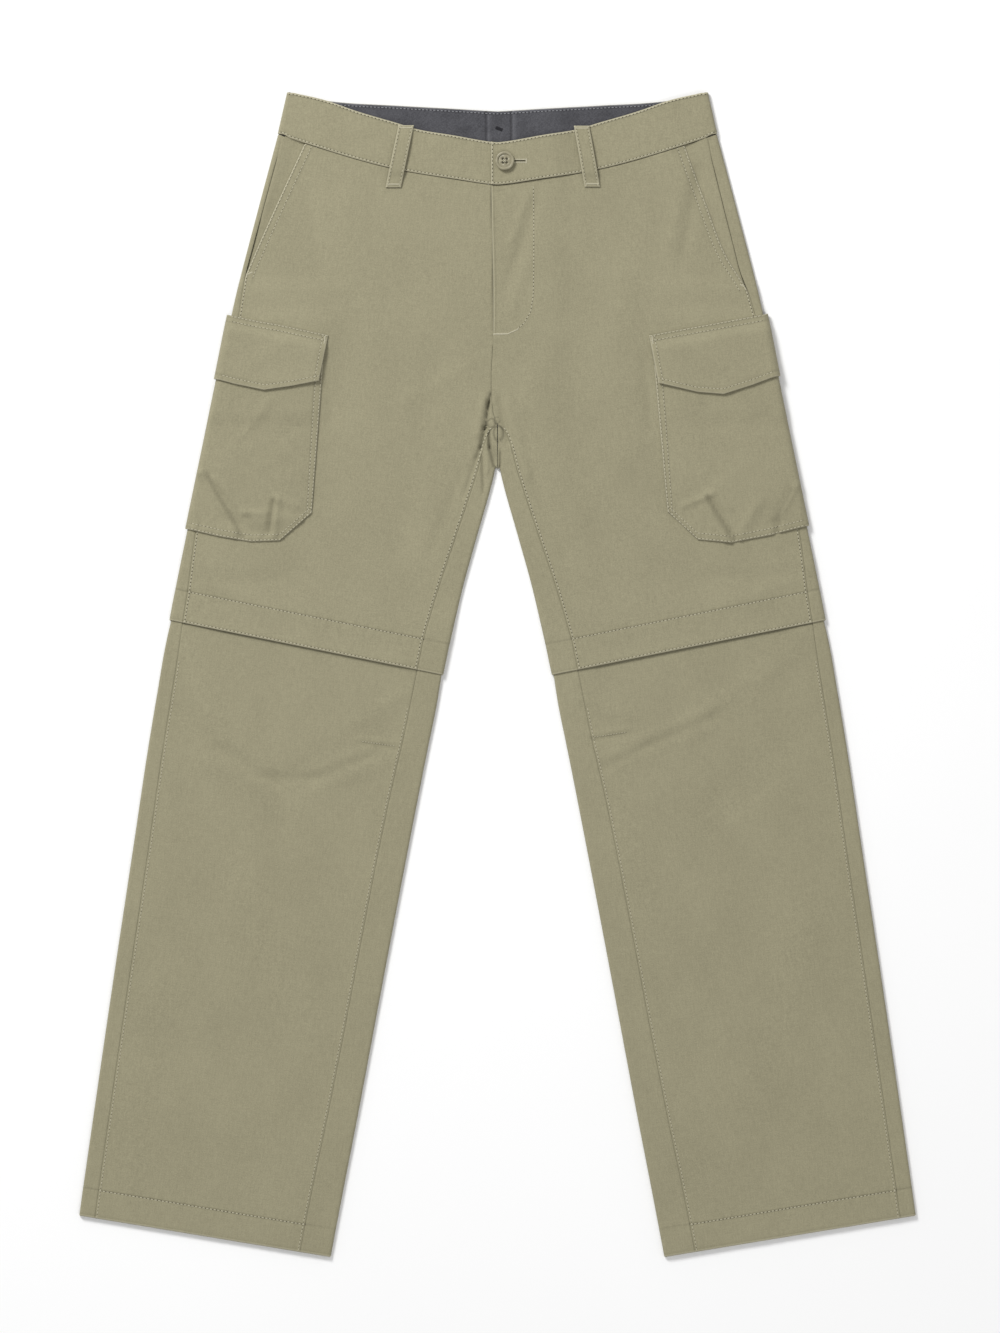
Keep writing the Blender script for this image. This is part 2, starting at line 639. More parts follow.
def between_rows(points, step, first, last, lines_from_end=()):
    """Fractional row numbers a step apart down a coarse line of points."""
    apart = np.linalg.norm(np.diff(points, axis=0), axis=1)
    lengths = np.concatenate([[0], np.cumsum(apart)])
    total = lengths[-1]
    at = spread(total, step, first, last, [total - line for line in lines_from_end])
    return np.interp(at, lengths, np.arange(len(points)))


def refined(anchors, at):
    """A table of anchors read at fractional row numbers."""
    fine = {}
    for key, rows in anchors.items():
        keys = np.arange(len(rows))
        fine[key] = np.stack([curve(list(zip(keys, column)))(at) for column in rows.T], axis=1)
    for key in ("out", "way"):
        fine[key] /= np.linalg.norm(fine[key], axis=1, keepdims=True)
    fine["half"] = fine["half"][:, 0]
    return fine


def across(start, end, shares, height):
    """Rows of points straight from start to end, at the heights that the function gives."""
    x = start[:, None, 0] + (end[:, 0] - start[:, 0])[:, None] * shares[None, :]
    y = start[:, None, 1] + (end[:, 1] - start[:, 1])[:, None] * shares[None, :]
    return np.stack([x, y, height(x, y) + 0 * x], axis=-1)


def arc(centre, out, half_width, low, high):
    """Points round a fold, from just above its lowest to just below its highest."""
    angle = math.pi * np.arange(1, ARC_STEPS) / ARC_STEPS
    reach = np.asarray(half_width)[:, None] * np.sin(angle)
    x = centre[:, 0, None] + reach * out[:, 0, None]
    y = centre[:, 1, None] + reach * out[:, 1, None]
    z = (low + high)[:, None] / 2 - (high - low)[:, None] / 2 * np.cos(angle)
    return np.stack([x, y, z], axis=-1)


def distances(grid):
    """How far each point of a grid is from its first and last row and column, along the grid."""
    down = np.zeros(grid.shape[:2])
    down[1:] = np.cumsum(np.linalg.norm(np.diff(grid, axis=0), axis=2), axis=0)
    over = np.zeros(grid.shape[:2])
    over[:, 1:] = np.cumsum(np.linalg.norm(np.diff(grid, axis=1), axis=2), axis=1)
    return {"top": down, "bottom": down[-1] - down, "start": over, "end": over[:, -1:] - over}


ALONG = {"top": "start", "bottom": "start", "start": "top", "end": "top"}


class Relief:
    """Raises and lowers a grid along its edges, and remembers how worn each point is.

    Wear above 0 is a paler edge, and below 0 the darker cloth down in a seam.
    """

    def __init__(self, grid, seed):
        self.grid, self.seed = grid, seed
        self.far = distances(grid)
        self.worn = np.zeros(grid.shape[:2])
        self.walls = np.full(grid.shape[:2], THIN)
        self.rise = np.zeros(grid.shape[:2])

    def pucker(self, edge, centre, width, height, mask=1.0):
        """Uneven ripples across a seam that runs along an edge."""
        self.seed += 1
        wave = ripple(self.far[ALONG[edge]], self.seed)
        self.rise += mask * height * wave * bump(self.far[edge] - centre, width)

    def seam(self, edge, mask=1.0, height=0.1):
        """An edge that is sewn to the next panel: it dips into the seam."""
        self.rise -= mask * 0.2 * bump(self.far[edge], 0.6)
        self.worn -= mask * 0.15 * bump(self.far[edge], 0.7)
        self.rise += mask * 0.12 * bump(self.far[edge] - 2.2, 1.6)
        self.pucker(edge, 2.0, 5.0, height, mask)
        return self

    def turned(self, edge, drop, stitch, mask=1.0, worn=1.0, height=0.1):
        """An edge that is folded under and stitched: it rolls down, and is fuller up to its stitches."""
        far = self.far[edge]
        self.rise -= mask * drop * (1 - np.clip(far / 0.8, 0, 1)) ** 2
        self.rise += mask * 0.16 * bump(far - stitch / 2 - 0.4, stitch / 2)
        self.line(edge, stitch, 0.2, mask)
        self.pucker(edge, stitch + 1.5, 4.0, height, mask)
        self.worn += mask * worn * bump(far - 0.4, 0.7)
        return self

    def line(self, edge, at, depth, mask=1.0):
        """The channel that a row of stitches pulls into the cloth."""
        self.rise -= mask * depth * bump(self.far[edge] - at, 0.7)
        self.worn -= mask * 1.2 * depth * bump(self.far[edge] - at, 0.8)
        return self

    def thick(self, edge, depth, wall):
        """Cloth doubled by a hem, from an edge inwards."""
        self.walls = mix(self.walls, wall, ease(self.far[edge], depth + 2, depth))
        return self

    def done(self):
        grid = self.grid.copy()
        grid[..., 2] += self.rise
        return grid


def path_inside(grid, edge, inset, first=0.0, last=1.0):
    """Points a distance in from an edge of a grid, over a share of that edge."""
    far = distances(grid)[edge]
    lines = []
    if edge in ("start", "end"):
        order = slice(None) if edge == "start" else slice(None, None, -1)
        for row, reach in zip(grid, far):
            lines.append([np.interp(inset, reach[order], row[order, axis]) for axis in (0, 1)])
    else:
        order = slice(None) if edge == "top" else slice(None, None, -1)
        for column in range(grid.shape[1]):
            reach = far[order, column]
            lines.append([np.interp(inset, reach, grid[order, column, axis]) for axis in (0, 1)])
    low, high = int(first * (len(lines) - 1)), int(round(last * (len(lines) - 1)))
    return np.array(lines[low:high + 1])


# Materials

def node(tree, kind, **values):
    made = tree.nodes.new(kind)
    for name, value in values.items():
        if hasattr(made, name):
            setattr(made, name, value)
        else:
            made.inputs[name.replace("_", " ")].default_value = value
    return made


def maths(tree, operation, first, second):
    """A Math node; first and second are sockets or numbers."""
    made = tree.nodes.new("ShaderNodeMath")
    made.operation = operation
    for socket, value in zip(made.inputs, (first, second)):
        if isinstance(value, (int, float)):
            socket.default_value = value
        else:
            tree.links.new(value, socket)
    return made.outputs[0]


def noise(tree, place, stretch, detail=2.0):
    """Noise with one blob for each 1 / stretch metres along each axis."""
    fit = node(tree, "ShaderNodeMapping")
    fit.inputs["Scale"].default_value = stretch
    tree.links.new(place, fit.inputs["Vector"])
    made = node(tree, "ShaderNodeTexNoise", Scale=1.0, Detail=detail)
    tree.links.new(fit.outputs[0], made.inputs["Vector"])
    return made.outputs[0]


def threads(tree, place, axis, pitch):
    """Parallel threads of a weave, a pitch apart in metres."""
    made = node(tree, "ShaderNodeTexWave", Scale=math.pi / 10 / pitch, Distortion=0.6)
    made.bands_direction = axis
    tree.links.new(place, made.inputs["Vector"])
    return made.outputs["Fac"]


def cloth_material(name, dark, light, edge, lean=0.0, pitch=0.0006, twill=False,
                   roughness=0.86, sheen=0.12):
    """Woven cloth: threads both ways, slubs along them, faint large clouds and worn edges."""
    made = bpy.data.materials.new(name)
    made.use_nodes = True
    tree = made.node_tree
    shader = tree.nodes["Principled BSDF"]
    place = node(tree, "ShaderNodeTexCoord").outputs["Object"]
    turn = node(tree, "ShaderNodeMapping")
    turn.inputs["Rotation"].default_value = (0, 0, lean + (math.pi / 4 if twill else 0))
    tree.links.new(place, turn.inputs["Vector"])
    place = turn.outputs[0]
    slub = noise(tree, place, (620, 130, 620))
    cross = noise(tree, place, (130, 620, 620))
    grain = noise(tree, place, (950, 950, 950), 3.0)
    cloud = noise(tree, place, (24, 15, 24), 4.0)
    total = 0.0
    for layer, share in ((slub, 0.20), (cross, 0.13), (grain, 0.52), (cloud, 0.15)):
        total = maths(tree, "ADD", maths(tree, "MULTIPLY", layer, share), total)
    shade = node(tree, "ShaderNodeValToRGB")
    shade.color_ramp.elements[0].position, shade.color_ramp.elements[0].color = 0.30, dark
    shade.color_ramp.elements[1].position, shade.color_ramp.elements[1].color = 0.70, light
    tree.links.new(total, shade.inputs["Fac"])
    worn = node(tree, "ShaderNodeAttribute", attribute_name="worn")
    blend = node(tree, "ShaderNodeMix", data_type="RGBA")
    for socket in blend.inputs:
        if socket.name == "A" and socket.type == "RGBA":
            tree.links.new(shade.outputs["Color"], socket)
        if socket.name == "B" and socket.type == "RGBA":
            socket.default_value = edge
    tree.links.new(maths(tree, "MULTIPLY", worn.outputs["Fac"], 0.6), blend.inputs["Factor"])
    colour = next(o for o in blend.outputs if o.type == "RGBA")
    sunk = node(tree, "ShaderNodeMix", data_type="RGBA")
    for socket in sunk.inputs:
        if socket.name == "A" and socket.type == "RGBA":
            tree.links.new(colour, socket)
        if socket.name == "B" and socket.type == "RGBA":
            socket.default_value = tuple(0.3 * c for c in dark[:3]) + (1.0,)
    tree.links.new(maths(tree, "MULTIPLY", worn.outputs["Fac"], -0.7), sunk.inputs["Factor"])
    colour = next(o for o in sunk.outputs if o.type == "RGBA")
    tree.links.new(colour, shader.inputs["Base Color"])
    weft = threads(tree, place, "X", pitch)
    warp = threads(tree, place, "Y", pitch * (3 if twill else 1.15))
    height = maths(tree, "ADD", maths(tree, "MULTIPLY", weft, 0.3), maths(tree, "MULTIPLY", warp, 0.3))
    height = maths(tree, "ADD", height, maths(tree, "MULTIPLY", slub, 0.5))
    raised = node(tree, "ShaderNodeBump", Strength=0.25, Distance=0.0003)
    tree.links.new(height, raised.inputs["Height"])
    tree.links.new(raised.outputs[0], shader.inputs["Normal"])
    rough = node(tree, "ShaderNodeMapRange")
    rough.inputs["To Min"].default_value = roughness - 0.06
    rough.inputs["To Max"].default_value = roughness + 0.06
    tree.links.new(grain, rough.inputs["Value"])
    tree.links.new(rough.outputs[0], shader.inputs["Roughness"])
    shader.inputs["Sheen Weight"].default_value = sheen
    shader.inputs["Sheen Roughness"].default_value = 0.5
    shader.inputs["Specular IOR Level"].default_value = 0.25
    return made


def plain_material(name, dark, light, scale, roughness, specular=0.4):
    """A material with faint clouds of colour, for thread, plastic and the floor."""
    made = bpy.data.materials.new(name)
    made.use_nodes = True
    tree = made.node_tree
    shader = tree.nodes["Principled BSDF"]
    place = node(tree, "ShaderNodeTexCoord").outputs["Object"]
    cloud = noise(tree, place, (scale, scale, scale), 3.0)
    shade = node(tree, "ShaderNodeValToRGB")
    shade.color_ramp.elements[0].position, shade.color_ramp.elements[0].color = 0.3, dark
    shade.color_ramp.elements[1].position, shade.color_ramp.elements[1].color = 0.7, light
    tree.links.new(cloud, shade.inputs["Fac"])
    tree.links.new(shade.outputs["Color"], shader.inputs["Base Color"])
    shader.inputs["Roughness"].default_value = roughness
    shader.inputs["Specular IOR Level"].default_value = specular
    return made


LEG_LEAN = math.radians(9)
KHAKI = {
    side: cloth_material(f"khaki_{NAMES[side]}", KHAKI_DARK, KHAKI_LIGHT, KHAKI_EDGE, -side * LEG_LEAN)
    for side in NAMES
}
KHAKI_STRAIGHT = cloth_material("khaki_straight", KHAKI_DARK, KHAKI_LIGHT, KHAKI_EDGE)
GREY = cloth_material("grey_twill", GREY_DARK, GREY_LIGHT, GREY_THREAD, pitch=0.0007, twill=True)
TAPE = cloth_material("zip_tape_weave", TAPE_DARK, TAPE_LIGHT, TAPE_LIGHT, twill=True)
SEWING = plain_material("khaki_sewing_thread", tuple(0.88 * c for c in KHAKI_THREAD[:3]) + (1.0,),
                        KHAKI_THREAD, 900, 0.6)
GREY_SEWING = plain_material("grey_sewing_thread", tuple(0.85 * c for c in GREY_THREAD[:3]) + (1.0,),
                             GREY_THREAD, 900, 0.6)
HOLE = plain_material("needle_hole", KHAKI_HOLE, KHAKI_HOLE, 500, 0.95)
GREY_NEEDLE = plain_material("grey_needle_hole", GREY_HOLE, GREY_HOLE, 500, 0.95)
COIL = plain_material("zip_coil", TAPE_DARK, TAPE_LIGHT, 900, 0.35)
PLASTIC = plain_material("button_plastic", BUTTON_DARK, BUTTON_LIGHT, 260, 0.38)


# Pieces

surfaces = {}


def link(name, mesh, material):
    piece = bpy.data.objects.new(name, mesh)
    mesh.materials.append(material)
    bpy.context.scene.collection.objects.link(piece)
    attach(piece, "root")
    return piece


def shell(name, parts, material, upward=True, closed=False):
    """A closed sheet of cloth under grids of outer points, each with its walls and wear.

    Grids weld where they meet. closed joins the last column of each to its first.
    """
    points, faces, walls, worn = [], [], [], []
    start = 0
    for grid, wall, wear in parts:
        rows, columns = grid.shape[:2]
        index = start + np.arange(rows * columns).reshape(rows, columns)
        if closed:
            index = np.concatenate([index, index[:, :1]], axis=1)
        faces.append(np.stack([index[:-1, :-1], index[:-1, 1:], index[1:, 1:], index[1:, :-1]], -1).reshape(-1, 4))
        points.append(grid.reshape(-1, 3))
        walls.append(np.broadcast_to(wall, (rows, columns)).ravel())
        worn.append(np.broadcast_to(wear, (rows, columns)).ravel())
        start += rows * columns
    points, faces = np.concatenate(points), np.concatenate(faces)
    _, first, welded = np.unique(np.round(points / 0.02).astype(int), axis=0, return_index=True,
                                 return_inverse=True)
    points, faces = points[first], welded.reshape(-1)[faces]
    walls, worn = np.concatenate(walls)[first], np.concatenate(worn)[first]
    corners = points[faces]
    normals = np.cross(corners[:, 2] - corners[:, 0], corners[:, 3] - corners[:, 1])
    if (normals[0, 2] > 0) != upward:
        faces, normals = faces[:, ::-1], -normals
    vertex = np.zeros_like(points)
    for corner in range(4):
        np.add.at(vertex, faces[:, corner], normals)
    vertex /= np.linalg.norm(vertex, axis=1, keepdims=True)
    count = len(points)
    edges = np.concatenate([faces[:, [a, (a + 1) % 4]] for a in range(4)])
    there = set(map(tuple, edges.tolist()))
    rim = np.array([e for e in edges.tolist() if (e[1], e[0]) not in there])
    sides = np.stack([rim[:, 1], rim[:, 0], rim[:, 0] + count, rim[:, 1] + count], axis=1)
    inside = faces[:, ::-1] + count
    mesh = bpy.data.meshes.new(name)
    every = np.concatenate([points, points - walls[:, None] * vertex]) * MM
    mesh.from_pydata(every.tolist(), [], np.concatenate([faces, inside, sides]).tolist())
    smooth = np.ones(len(mesh.polygons), bool)
    smooth[2 * len(faces):] = False
    mesh.polygons.foreach_set("use_smooth", smooth)
    wear = mesh.attributes.new("worn", "FLOAT", "POINT")
    wear.data.foreach_set("value", np.concatenate([worn, worn]))
    mesh.update()
    piece = link(name, mesh, material)
    surfaces[name] = BVHTree.FromPolygons((points * MM).tolist(), faces.tolist())
    return piece


def mirrored(grid, side):
    return grid * (side, 1, 1)


def back_thigh(side):
    """The back of a thigh wraps both edges of the leg up to its seams."""
    def low(x, y):
        return under(x, y, side)

    def high(x, y):
        return thigh_top(x, y, side)

    anchors = thigh_anchors(side)
    at = between_rows(anchors["outer"], 3.0, True, True, (KNEE_HEM_DEPTH,))
    fine = refined(anchors, at)
    centre = fine["outer"]
    low_z, high_z = low(*centre.T), high(*centre.T)
    strip = across(fine["seam"], centre, spread(9, 1.5, True, False) / 9, high)
    turn = arc(centre, fine["out"], fine["half"], low_z, high_z)[:, ::-1]
    bottom = across(centre, fine["inner"], spread(250, HIDDEN_STEP, False, False) / 250, low)
    waist = 1 - ease(at, 0, 1)
    x = bottom[..., 0]
    bottom[..., 1] += waist[:, None] * ease(x, centre[:, :1], 0.9 * centre[:, :1]) * (
        back_bottom(x) - GAP - bottom[..., 1])
    main = np.concatenate([strip, turn, bottom], axis=1)
    shape = Relief(main, 100 + side).thick("bottom", KNEE_HEM_DEPTH, DOUBLED).seam("start")
    shape.turned("bottom", 0.8, 2.0).line("bottom", KNEE_HEM_DEPTH, 0.25)
    main_part = (mirrored(shape.done(), side), shape.walls, shape.worn)

    below = at >= APEX_ROW + 1
    inner, way, edge = fine["inner"][below], fine["way"][below], fine["edge"][below]
    low_z, high_z = low(*inner.T), high(*inner.T)
    turn = arc(inner, way, fine["half"][below], low_z, high_z)
    strip = across(inner, edge, spread(30, 2.0, False, True) / 30, high)
    lip = np.concatenate([bottom[below, -1:], turn, strip], axis=1)
    shape = Relief(lip, 120 + side).thick("bottom", KNEE_HEM_DEPTH, DOUBLED).seam("end", 1.0, 0.25)
    shape.turned("bottom", 0.8, 2.0).line("bottom", KNEE_HEM_DEPTH, 0.25)
    shape.rise[:, 0] = 0
    shape.worn -= hollows(lip[..., 0], lip[..., 1], side)
    join = mirrored(shape.done(), side)
    join[:, 0] = main_part[0][below, -1]
    lip_part = (join, shape.walls, shape.worn)
    return shell(f"cloth_back_thigh_{NAMES[side]}", [main_part, lip_part], KHAKI[side])


def front_thigh(side):
    def high(x, y):
        return thigh_top(x, y, side) + fly_lift(x, y, side)

    anchors = thigh_anchors(side)
    at = between_rows(anchors["left"], STEP, True, True, (KNEE_HEM_DEPTH,))
    fine = refined(anchors, at)
    left, right = fine["left"], fine["right"]
    end_y = MOUTH[side][-1][0]
    above = right[:, 1] > TIP_Y + 2
    right[above, 0] = centre_edge(right[above, 1], side)
    on_mouth = left[:, 1] >= end_y
    left[on_mouth, 0] = np.minimum(left[on_mouth, 0], mouth[side](left[on_mouth, 1]))
    shares = spread(230, STEP, True, True) / 230
    grid = across(left, right, shares, lambda x, y: 0 * x)
    x = grid[..., 0]
    sag = np.interp(at, np.arange(len(WAIST_SAG)), WAIST_SAG)[:, None]
    ends = front_bottom(left[:, 0])[:, None], front_bottom(right[:, 0])[:, None]
    grid[..., 1] += sag * (front_bottom(x) - mix(ends[0], ends[1], shares[None, :]))
    grid[..., 2] = high(grid[..., 0], grid[..., 1])
    y = grid[..., 1]
    shape = Relief(grid, 140 + side).thick("bottom", KNEE_HEM_DEPTH, DOUBLED).seam("top")
    mouth_mask = ease(y, end_y - 6, end_y)
    shape.turned("start", 0.9, 1.8, mouth_mask).line("start", 8.0, 0.2, mouth_mask)
    shape.seam("start", 1 - mouth_mask)
    fly_mask = ease(y, FLY_END_Y - 4, FLY_END_Y + 4) if side > 0 else 0.0
    shape.turned("end", 1.0, 2.4, fly_mask, 0.5).seam("end", 1 - fly_mask, 0.2)
    shape.turned("bottom", 0.8, 2.0, height=0.22).line("bottom", KNEE_HEM_DEPTH, 0.35)
    shape.pucker("bottom", KNEE_HEM_DEPTH, 4.5, 0.42)
    inside = ease(shape.far["start"], 4, 40) * ease(shape.far["end"], 2, 24)
    shape.rise += HEM_GAPE * inside * bump(shape.far["bottom"], 9)
    if side < 0:
        beside_fly = bump(x + rise_seam(y), 0.8)
        shape.worn -= 0.9 * ease(y, FLY_END_Y - 6, FLY_END_Y + 6) * beside_fly
    shape.worn -= hollows(grid[..., 0], y, side)
    made = mirrored(shape.done(), side)
    name = f"cloth_front_thigh_{NAMES[side]}"
    return shell(name, [(made, shape.walls, shape.worn)], KHAKI[side]), made


def pocket_facing(side):
    """The side panel that shows behind the slanted pocket mouth."""
    end_y = MOUTH[side][-1][0] + 5
    y = np.linspace(WAIST_Y, end_y, 60)
    seam = outer_edge(y) - outseam_inset[side](y) - 1.5 * GAP
    lip = np.minimum(mouth[side](y) + 0.5, seam - 0.4)
    sunk = 1 - ease(seam - lip, 4, 12)
    shares = spread(50, 2.5, True, False) / 50
    grid = across(np.stack([seam, y], 1), np.stack([lip - FACING_UNDERLAP, y], 1), shares, lambda x, y: 0 * x)
    x = grid[..., 0]
    top = front_bottom(x) - GAP
    grid[..., 1] = mix(grid[..., 1], top, ease(y, WAIST_Y - 25, WAIST_Y)[:, None])
    reach = ease(seam[:, None] - x, 0, np.maximum(seam - lip, 0.4)[:, None])
    drop = mix(sunk[:, None], 1, reach)
    grid[..., 2] = thigh_top(x, grid[..., 1], side) - FACING_CLEAR * LAYER * drop
    shape = Relief(grid, 160 + side).seam("start")
    name = f"cloth_pocket_facing_{NAMES[side]}"
    return shell(name, [(mirrored(shape.done(), side), shape.walls, shape.worn)], KHAKI[side])


def back_shin(side):
    def high(x, y):
        return shin_top(x, y, side)

    anchors = shin_anchors(side)
    at = between_rows(anchors["outer"], 4.0, False, True, (LEG_HEM_DEPTH,))
    fine = refined(anchors, at)
    outer, inner = fine["outer"], fine["inner"]
    grid = [across(fine["seam"], outer, spread(12, 1.8, True, False) / 12, high)]
    grid.append(arc(outer, fine["out"], fine["half"], shin_under(*outer.T), high(*outer.T))[:, ::-1])
    grid.append(across(outer, inner, spread(240, HIDDEN_STEP, False, False) / 240, shin_under))
    grid.append(arc(inner, fine["way"], fine["half"], shin_under(*inner.T), high(*inner.T)))
    grid.append(across(inner, fine["edge"], spread(28, 2.2, False, True) / 28, high))
    shape = Relief(np.concatenate(grid, axis=1), 180 + side).thick("bottom", LEG_HEM_DEPTH, DOUBLED)
    shape.seam("start").seam("end").turned("bottom", 0.8, 2.0).line("bottom", LEG_HEM_DEPTH, 0.25)
    name = f"cloth_back_shin_{NAMES[side]}"
    return shell(name, [(mirrored(shape.done(), side), shape.walls, shape.worn)], KHAKI[side])


def front_shin(side):
    anchors = shin_anchors(side)
    at = between_rows(anchors["seam"], STEP + 0.3, False, True, (LEG_HEM_DEPTH,))
    fine = refined(anchors, at)
    left, right = fine["seam"], fine["edge"]
    grid = across(seam_gap(left, right), seam_gap(right, left), spread(210, STEP + 0.2) / 210,
                  lambda x, y: shin_top(x, y, side))
    shape = Relief(grid, 200 + side).thick("bottom", LEG_HEM_DEPTH, DOUBLED)
    shape.seam("start").seam("end").turned("bottom", 0.8, 2.0, height=0.22)
    shape.line("bottom", LEG_HEM_DEPTH, 0.35).pucker("bottom", LEG_HEM_DEPTH, 4.5, 0.4)
    shape.worn -= under_hem(grid[..., 0], grid[..., 1])
    made = mirrored(shape.done(), side)
    name = f"cloth_front_shin_{NAMES[side]}"
    return shell(name, [(made, shape.walls, shape.worn)], KHAKI[side]), made


def knee_tape(side):
    """The knee zip's tape, a flat ring inside the knee hem."""
    def high(x, y):
        return thigh_top(x, y, side) - HEM_LIFT

    def low(x, y):
        return HEM_LIFT + 0 * x

    ends = []
    for outer_y, inner_y in ZIP_ROWS:
        outer, out = outer_fold(outer_y, HEM_FOLD)
        inner, way = inner_fold(inner_y, HEM_FOLD)
        ends.append((outer, out, inner, way))
    shares = np.linspace(0, 1, 9)
    outer, out, inner, way = (np.array([mix(ends[0][i], ends[1][i], t) for t in shares]) for i in range(4))
    half = np.full(len(shares), HEM_FOLD - HEM_LIFT)
    run = np.linspace(0, 1, 70)
    grid = [across(inner, outer, run, high)]
    grid.append(arc(outer, out, half, low(*outer.T), high(*outer.T))[:, ::-1])
    grid.append(across(outer, inner, run, low))
    grid.append(arc(inner, way, half, low(*inner.T), high(*inner.T)))
    grid = mirrored(np.concatenate(grid, axis=1), side)
    name = f"tape_knee_{NAMES[side]}"
    return shell(name, [(grid, THIN, 0.0)], TAPE, closed=True), grid


def fly_tape():
    """The fly's zip tape, hidden under the wearer's left front."""
    y = np.linspace(468, FLY_END_Y + 24, 60)
    start = np.stack([0 * y + ZIP_EDGE_X, y], 1)
    end = start + (ZIP_WIDTH, 0)
    grid = across(start, end, np.linspace(0, 1, 10), lambda x, y: thigh_top(x, y, 1))
    return shell("tape_fly", [(grid, THIN, 0.0)], TAPE), grid


def waistband(side):
    """Half of the waistband: front, round the side fold, and back to the middle."""
    (low_x, low_y), (high_x, high_y) = BAND_SIDE
    tall = math.hypot(high_x - low_x, high_y - low_y)
    out = np.array([(high_y - low_y) / tall, (low_x - high_x) / tall])
    start = float(rise_seam(500)) if side > 0 else -BAND_UNDERLAP
    level = spread(tall, 1.9) / tall
    fold = np.stack([mix(low_x, high_x, level) - BAND_FOLD, mix(low_y, high_y, level)], 1)
    lines = (BUTTON_X - start + SLOT_SHIFT,) if side > 0 else ()
    shares = spread(fold[0, 0] - start, STEP, True, False, lines) / (fold[0, 0] - start)
    x = start + (fold[:, 0] - start)[:, None] * shares[None, :]
    y = mix(front_bottom(np.abs(x)), front_top(np.abs(x)), level[:, None])
    near = ease(x, fold[:, :1] - 9, fold[:, :1])
    y = mix(y, fold[:, 1:], near)
    front = np.stack([x, y, band_top(x, side)], axis=-1)
    low_z, high_z = under(*fold.T, side), np.full(len(level), BAND_HEIGHT)
    turn = arc(fold, np.tile(out, (len(level), 1)), np.full(len(level), BAND_FOLD), low_z, high_z)[:, ::-1]
    end_x = float(outer_fold(WAIST_Y, FOLD)[0][0])
    x = mix(end_x, MIDDLE, np.linspace(0, 1, 26))[None, :] + 0 * level[:, None]
    y = mix(back_bottom(x), back_top(x), level[:, None])
    back = np.stack([x, y, under(x, y, side)], axis=-1)
    grid = np.concatenate([front, turn, fold_column(fold, low_z), back[:, 1:]], axis=1)
    visible = ease(np.arange(grid.shape[1]), front.shape[1] + ARC_STEPS + 1, front.shape[1])[None, :]
    shape = Relief(grid, 220 + side)
    shape.walls[:] = TRIPLED
    shape.turned("top", 0.9, 2.2, visible, 1.0, 0.18).turned("bottom", 1.0, 2.2, visible, 1.0, 0.2)
    if side > 0:
        shape.turned("start", 1.2, 2.2, 1.0, 0.8)
    shape.rise += 0.12 * mottle(grid[..., 0], grid[..., 1], 31 + side, 22, 60) * visible
    made = mirrored(shape.done(), side)
    name = f"cloth_waistband_{NAMES[side]}"
    return shell(name, [(made, shape.walls, shape.worn)], KHAKI_STRAIGHT), made[:, :front.shape[1]]


def fold_column(points, heights):
    return np.concatenate([points, heights[:, None]], axis=1)[:, None, :]


def waistband_facing():
    """The grey inside of the back waistband, which shows above the front edge."""
    level = mix(FACING_LEVELS[0], FACING_LEVELS[1], spread(38, 1.9) / 38)[:, None]
    x = mix(-FACING_REACH, FACING_REACH, spread(382, 3.0, True, True, (179.9, 204.0)) / 382)[None, :]
    x, level = np.broadcast_arrays(x, level)
    y = back_top(np.abs(x)) - BAND_DEPTH * (1 - level)
    z = np.where(x < 0, under(np.abs(x), y, -1), under(np.abs(x), y, 1)) + BAND_WALL + GAP + FACING_WALL
    grid = np.stack([x, y, z], axis=-1)
    shape = Relief(grid, 240)
    shape.walls[:] = FACING_WALL
    shape.turned("bottom", 0.6, 2.6, 1.0, 0.5)
    for seam_x in (-11.1, 13.0):
        shape.rise -= 0.3 * bump(x - seam_x, 0.9) - 0.1 * bump(x - seam_x - 2, 1.5)
        shape.worn -= 0.7 * bump(x - seam_x, 1.0) - 0.25 * bump(x - seam_x - 2.5, 1.5)
    shape.rise += 0.25 * mottle(x, y, 33, 18, 60)
    shape.worn -= 0.25 * np.clip(mottle(x, y, 34, 12, 40), 0, 1)
    made = shape.done()
    return shell("cloth_waistband_facing", [(made, shape.walls, shape.worn)], GREY), made


def wrapped(side, kind, base, lifted, reach, slack):
    """A pocket or flap on the side of the thigh, from its front edge round to the back."""
    top_edge, bottom_edge = (np.array(edge, float) for edge in POCKETS[side][kind])
    tall = float(np.linalg.norm(top_edge[0] - bottom_edge[0]))
    lines = (6.5,) if kind == "flap" else ()
    v = spread(tall, 2.0, True, True, lines) / tall
    centre, out = outer_fold(mix(top_edge[0, 1], bottom_edge[0, 1], v), FOLD)
    knots = mix(top_edge[None], bottom_edge[None], v[:, None, None])
    knots[:, 0] = centre
    along = []
    for segment in range(4):
        piece = spread(24, 2.0, segment == 0, False, (7.0,) if segment == 0 else ()) / 24
        along.append(4 - segment - piece[:-1])
    along = np.concatenate(along + [[0.0]])
    low = np.clip(np.floor(along).astype(int), 0, 3)
    flat = knots[:, low] + (knots[:, low + 1] - knots[:, low]) * (along - low)[None, :, None]
    x, y = flat[..., 0], flat[..., 1]
    puff = slack * np.sin(math.pi * mix(0.12, 0.88, v))[:, None]
    z = lifted(x, y) + puff * np.cos(math.pi / 8 * along)[None, :] + creases(x, y, side, kind)
    front = np.stack([x, y, z], axis=-1)
    low_z = base(*centre.T)
    turn = arc(centre, out, np.full(len(v), FOLD + reach), low_z, z[:, -1])[:, ::-1]
    end = centre - (POCKET_WRAP - FOLD, WRAP_DROP["flap"])
    hidden = across(centre, end, np.linspace(0, 1, 10), base)
    return np.concatenate([front, turn, hidden], axis=1), front.shape[1]


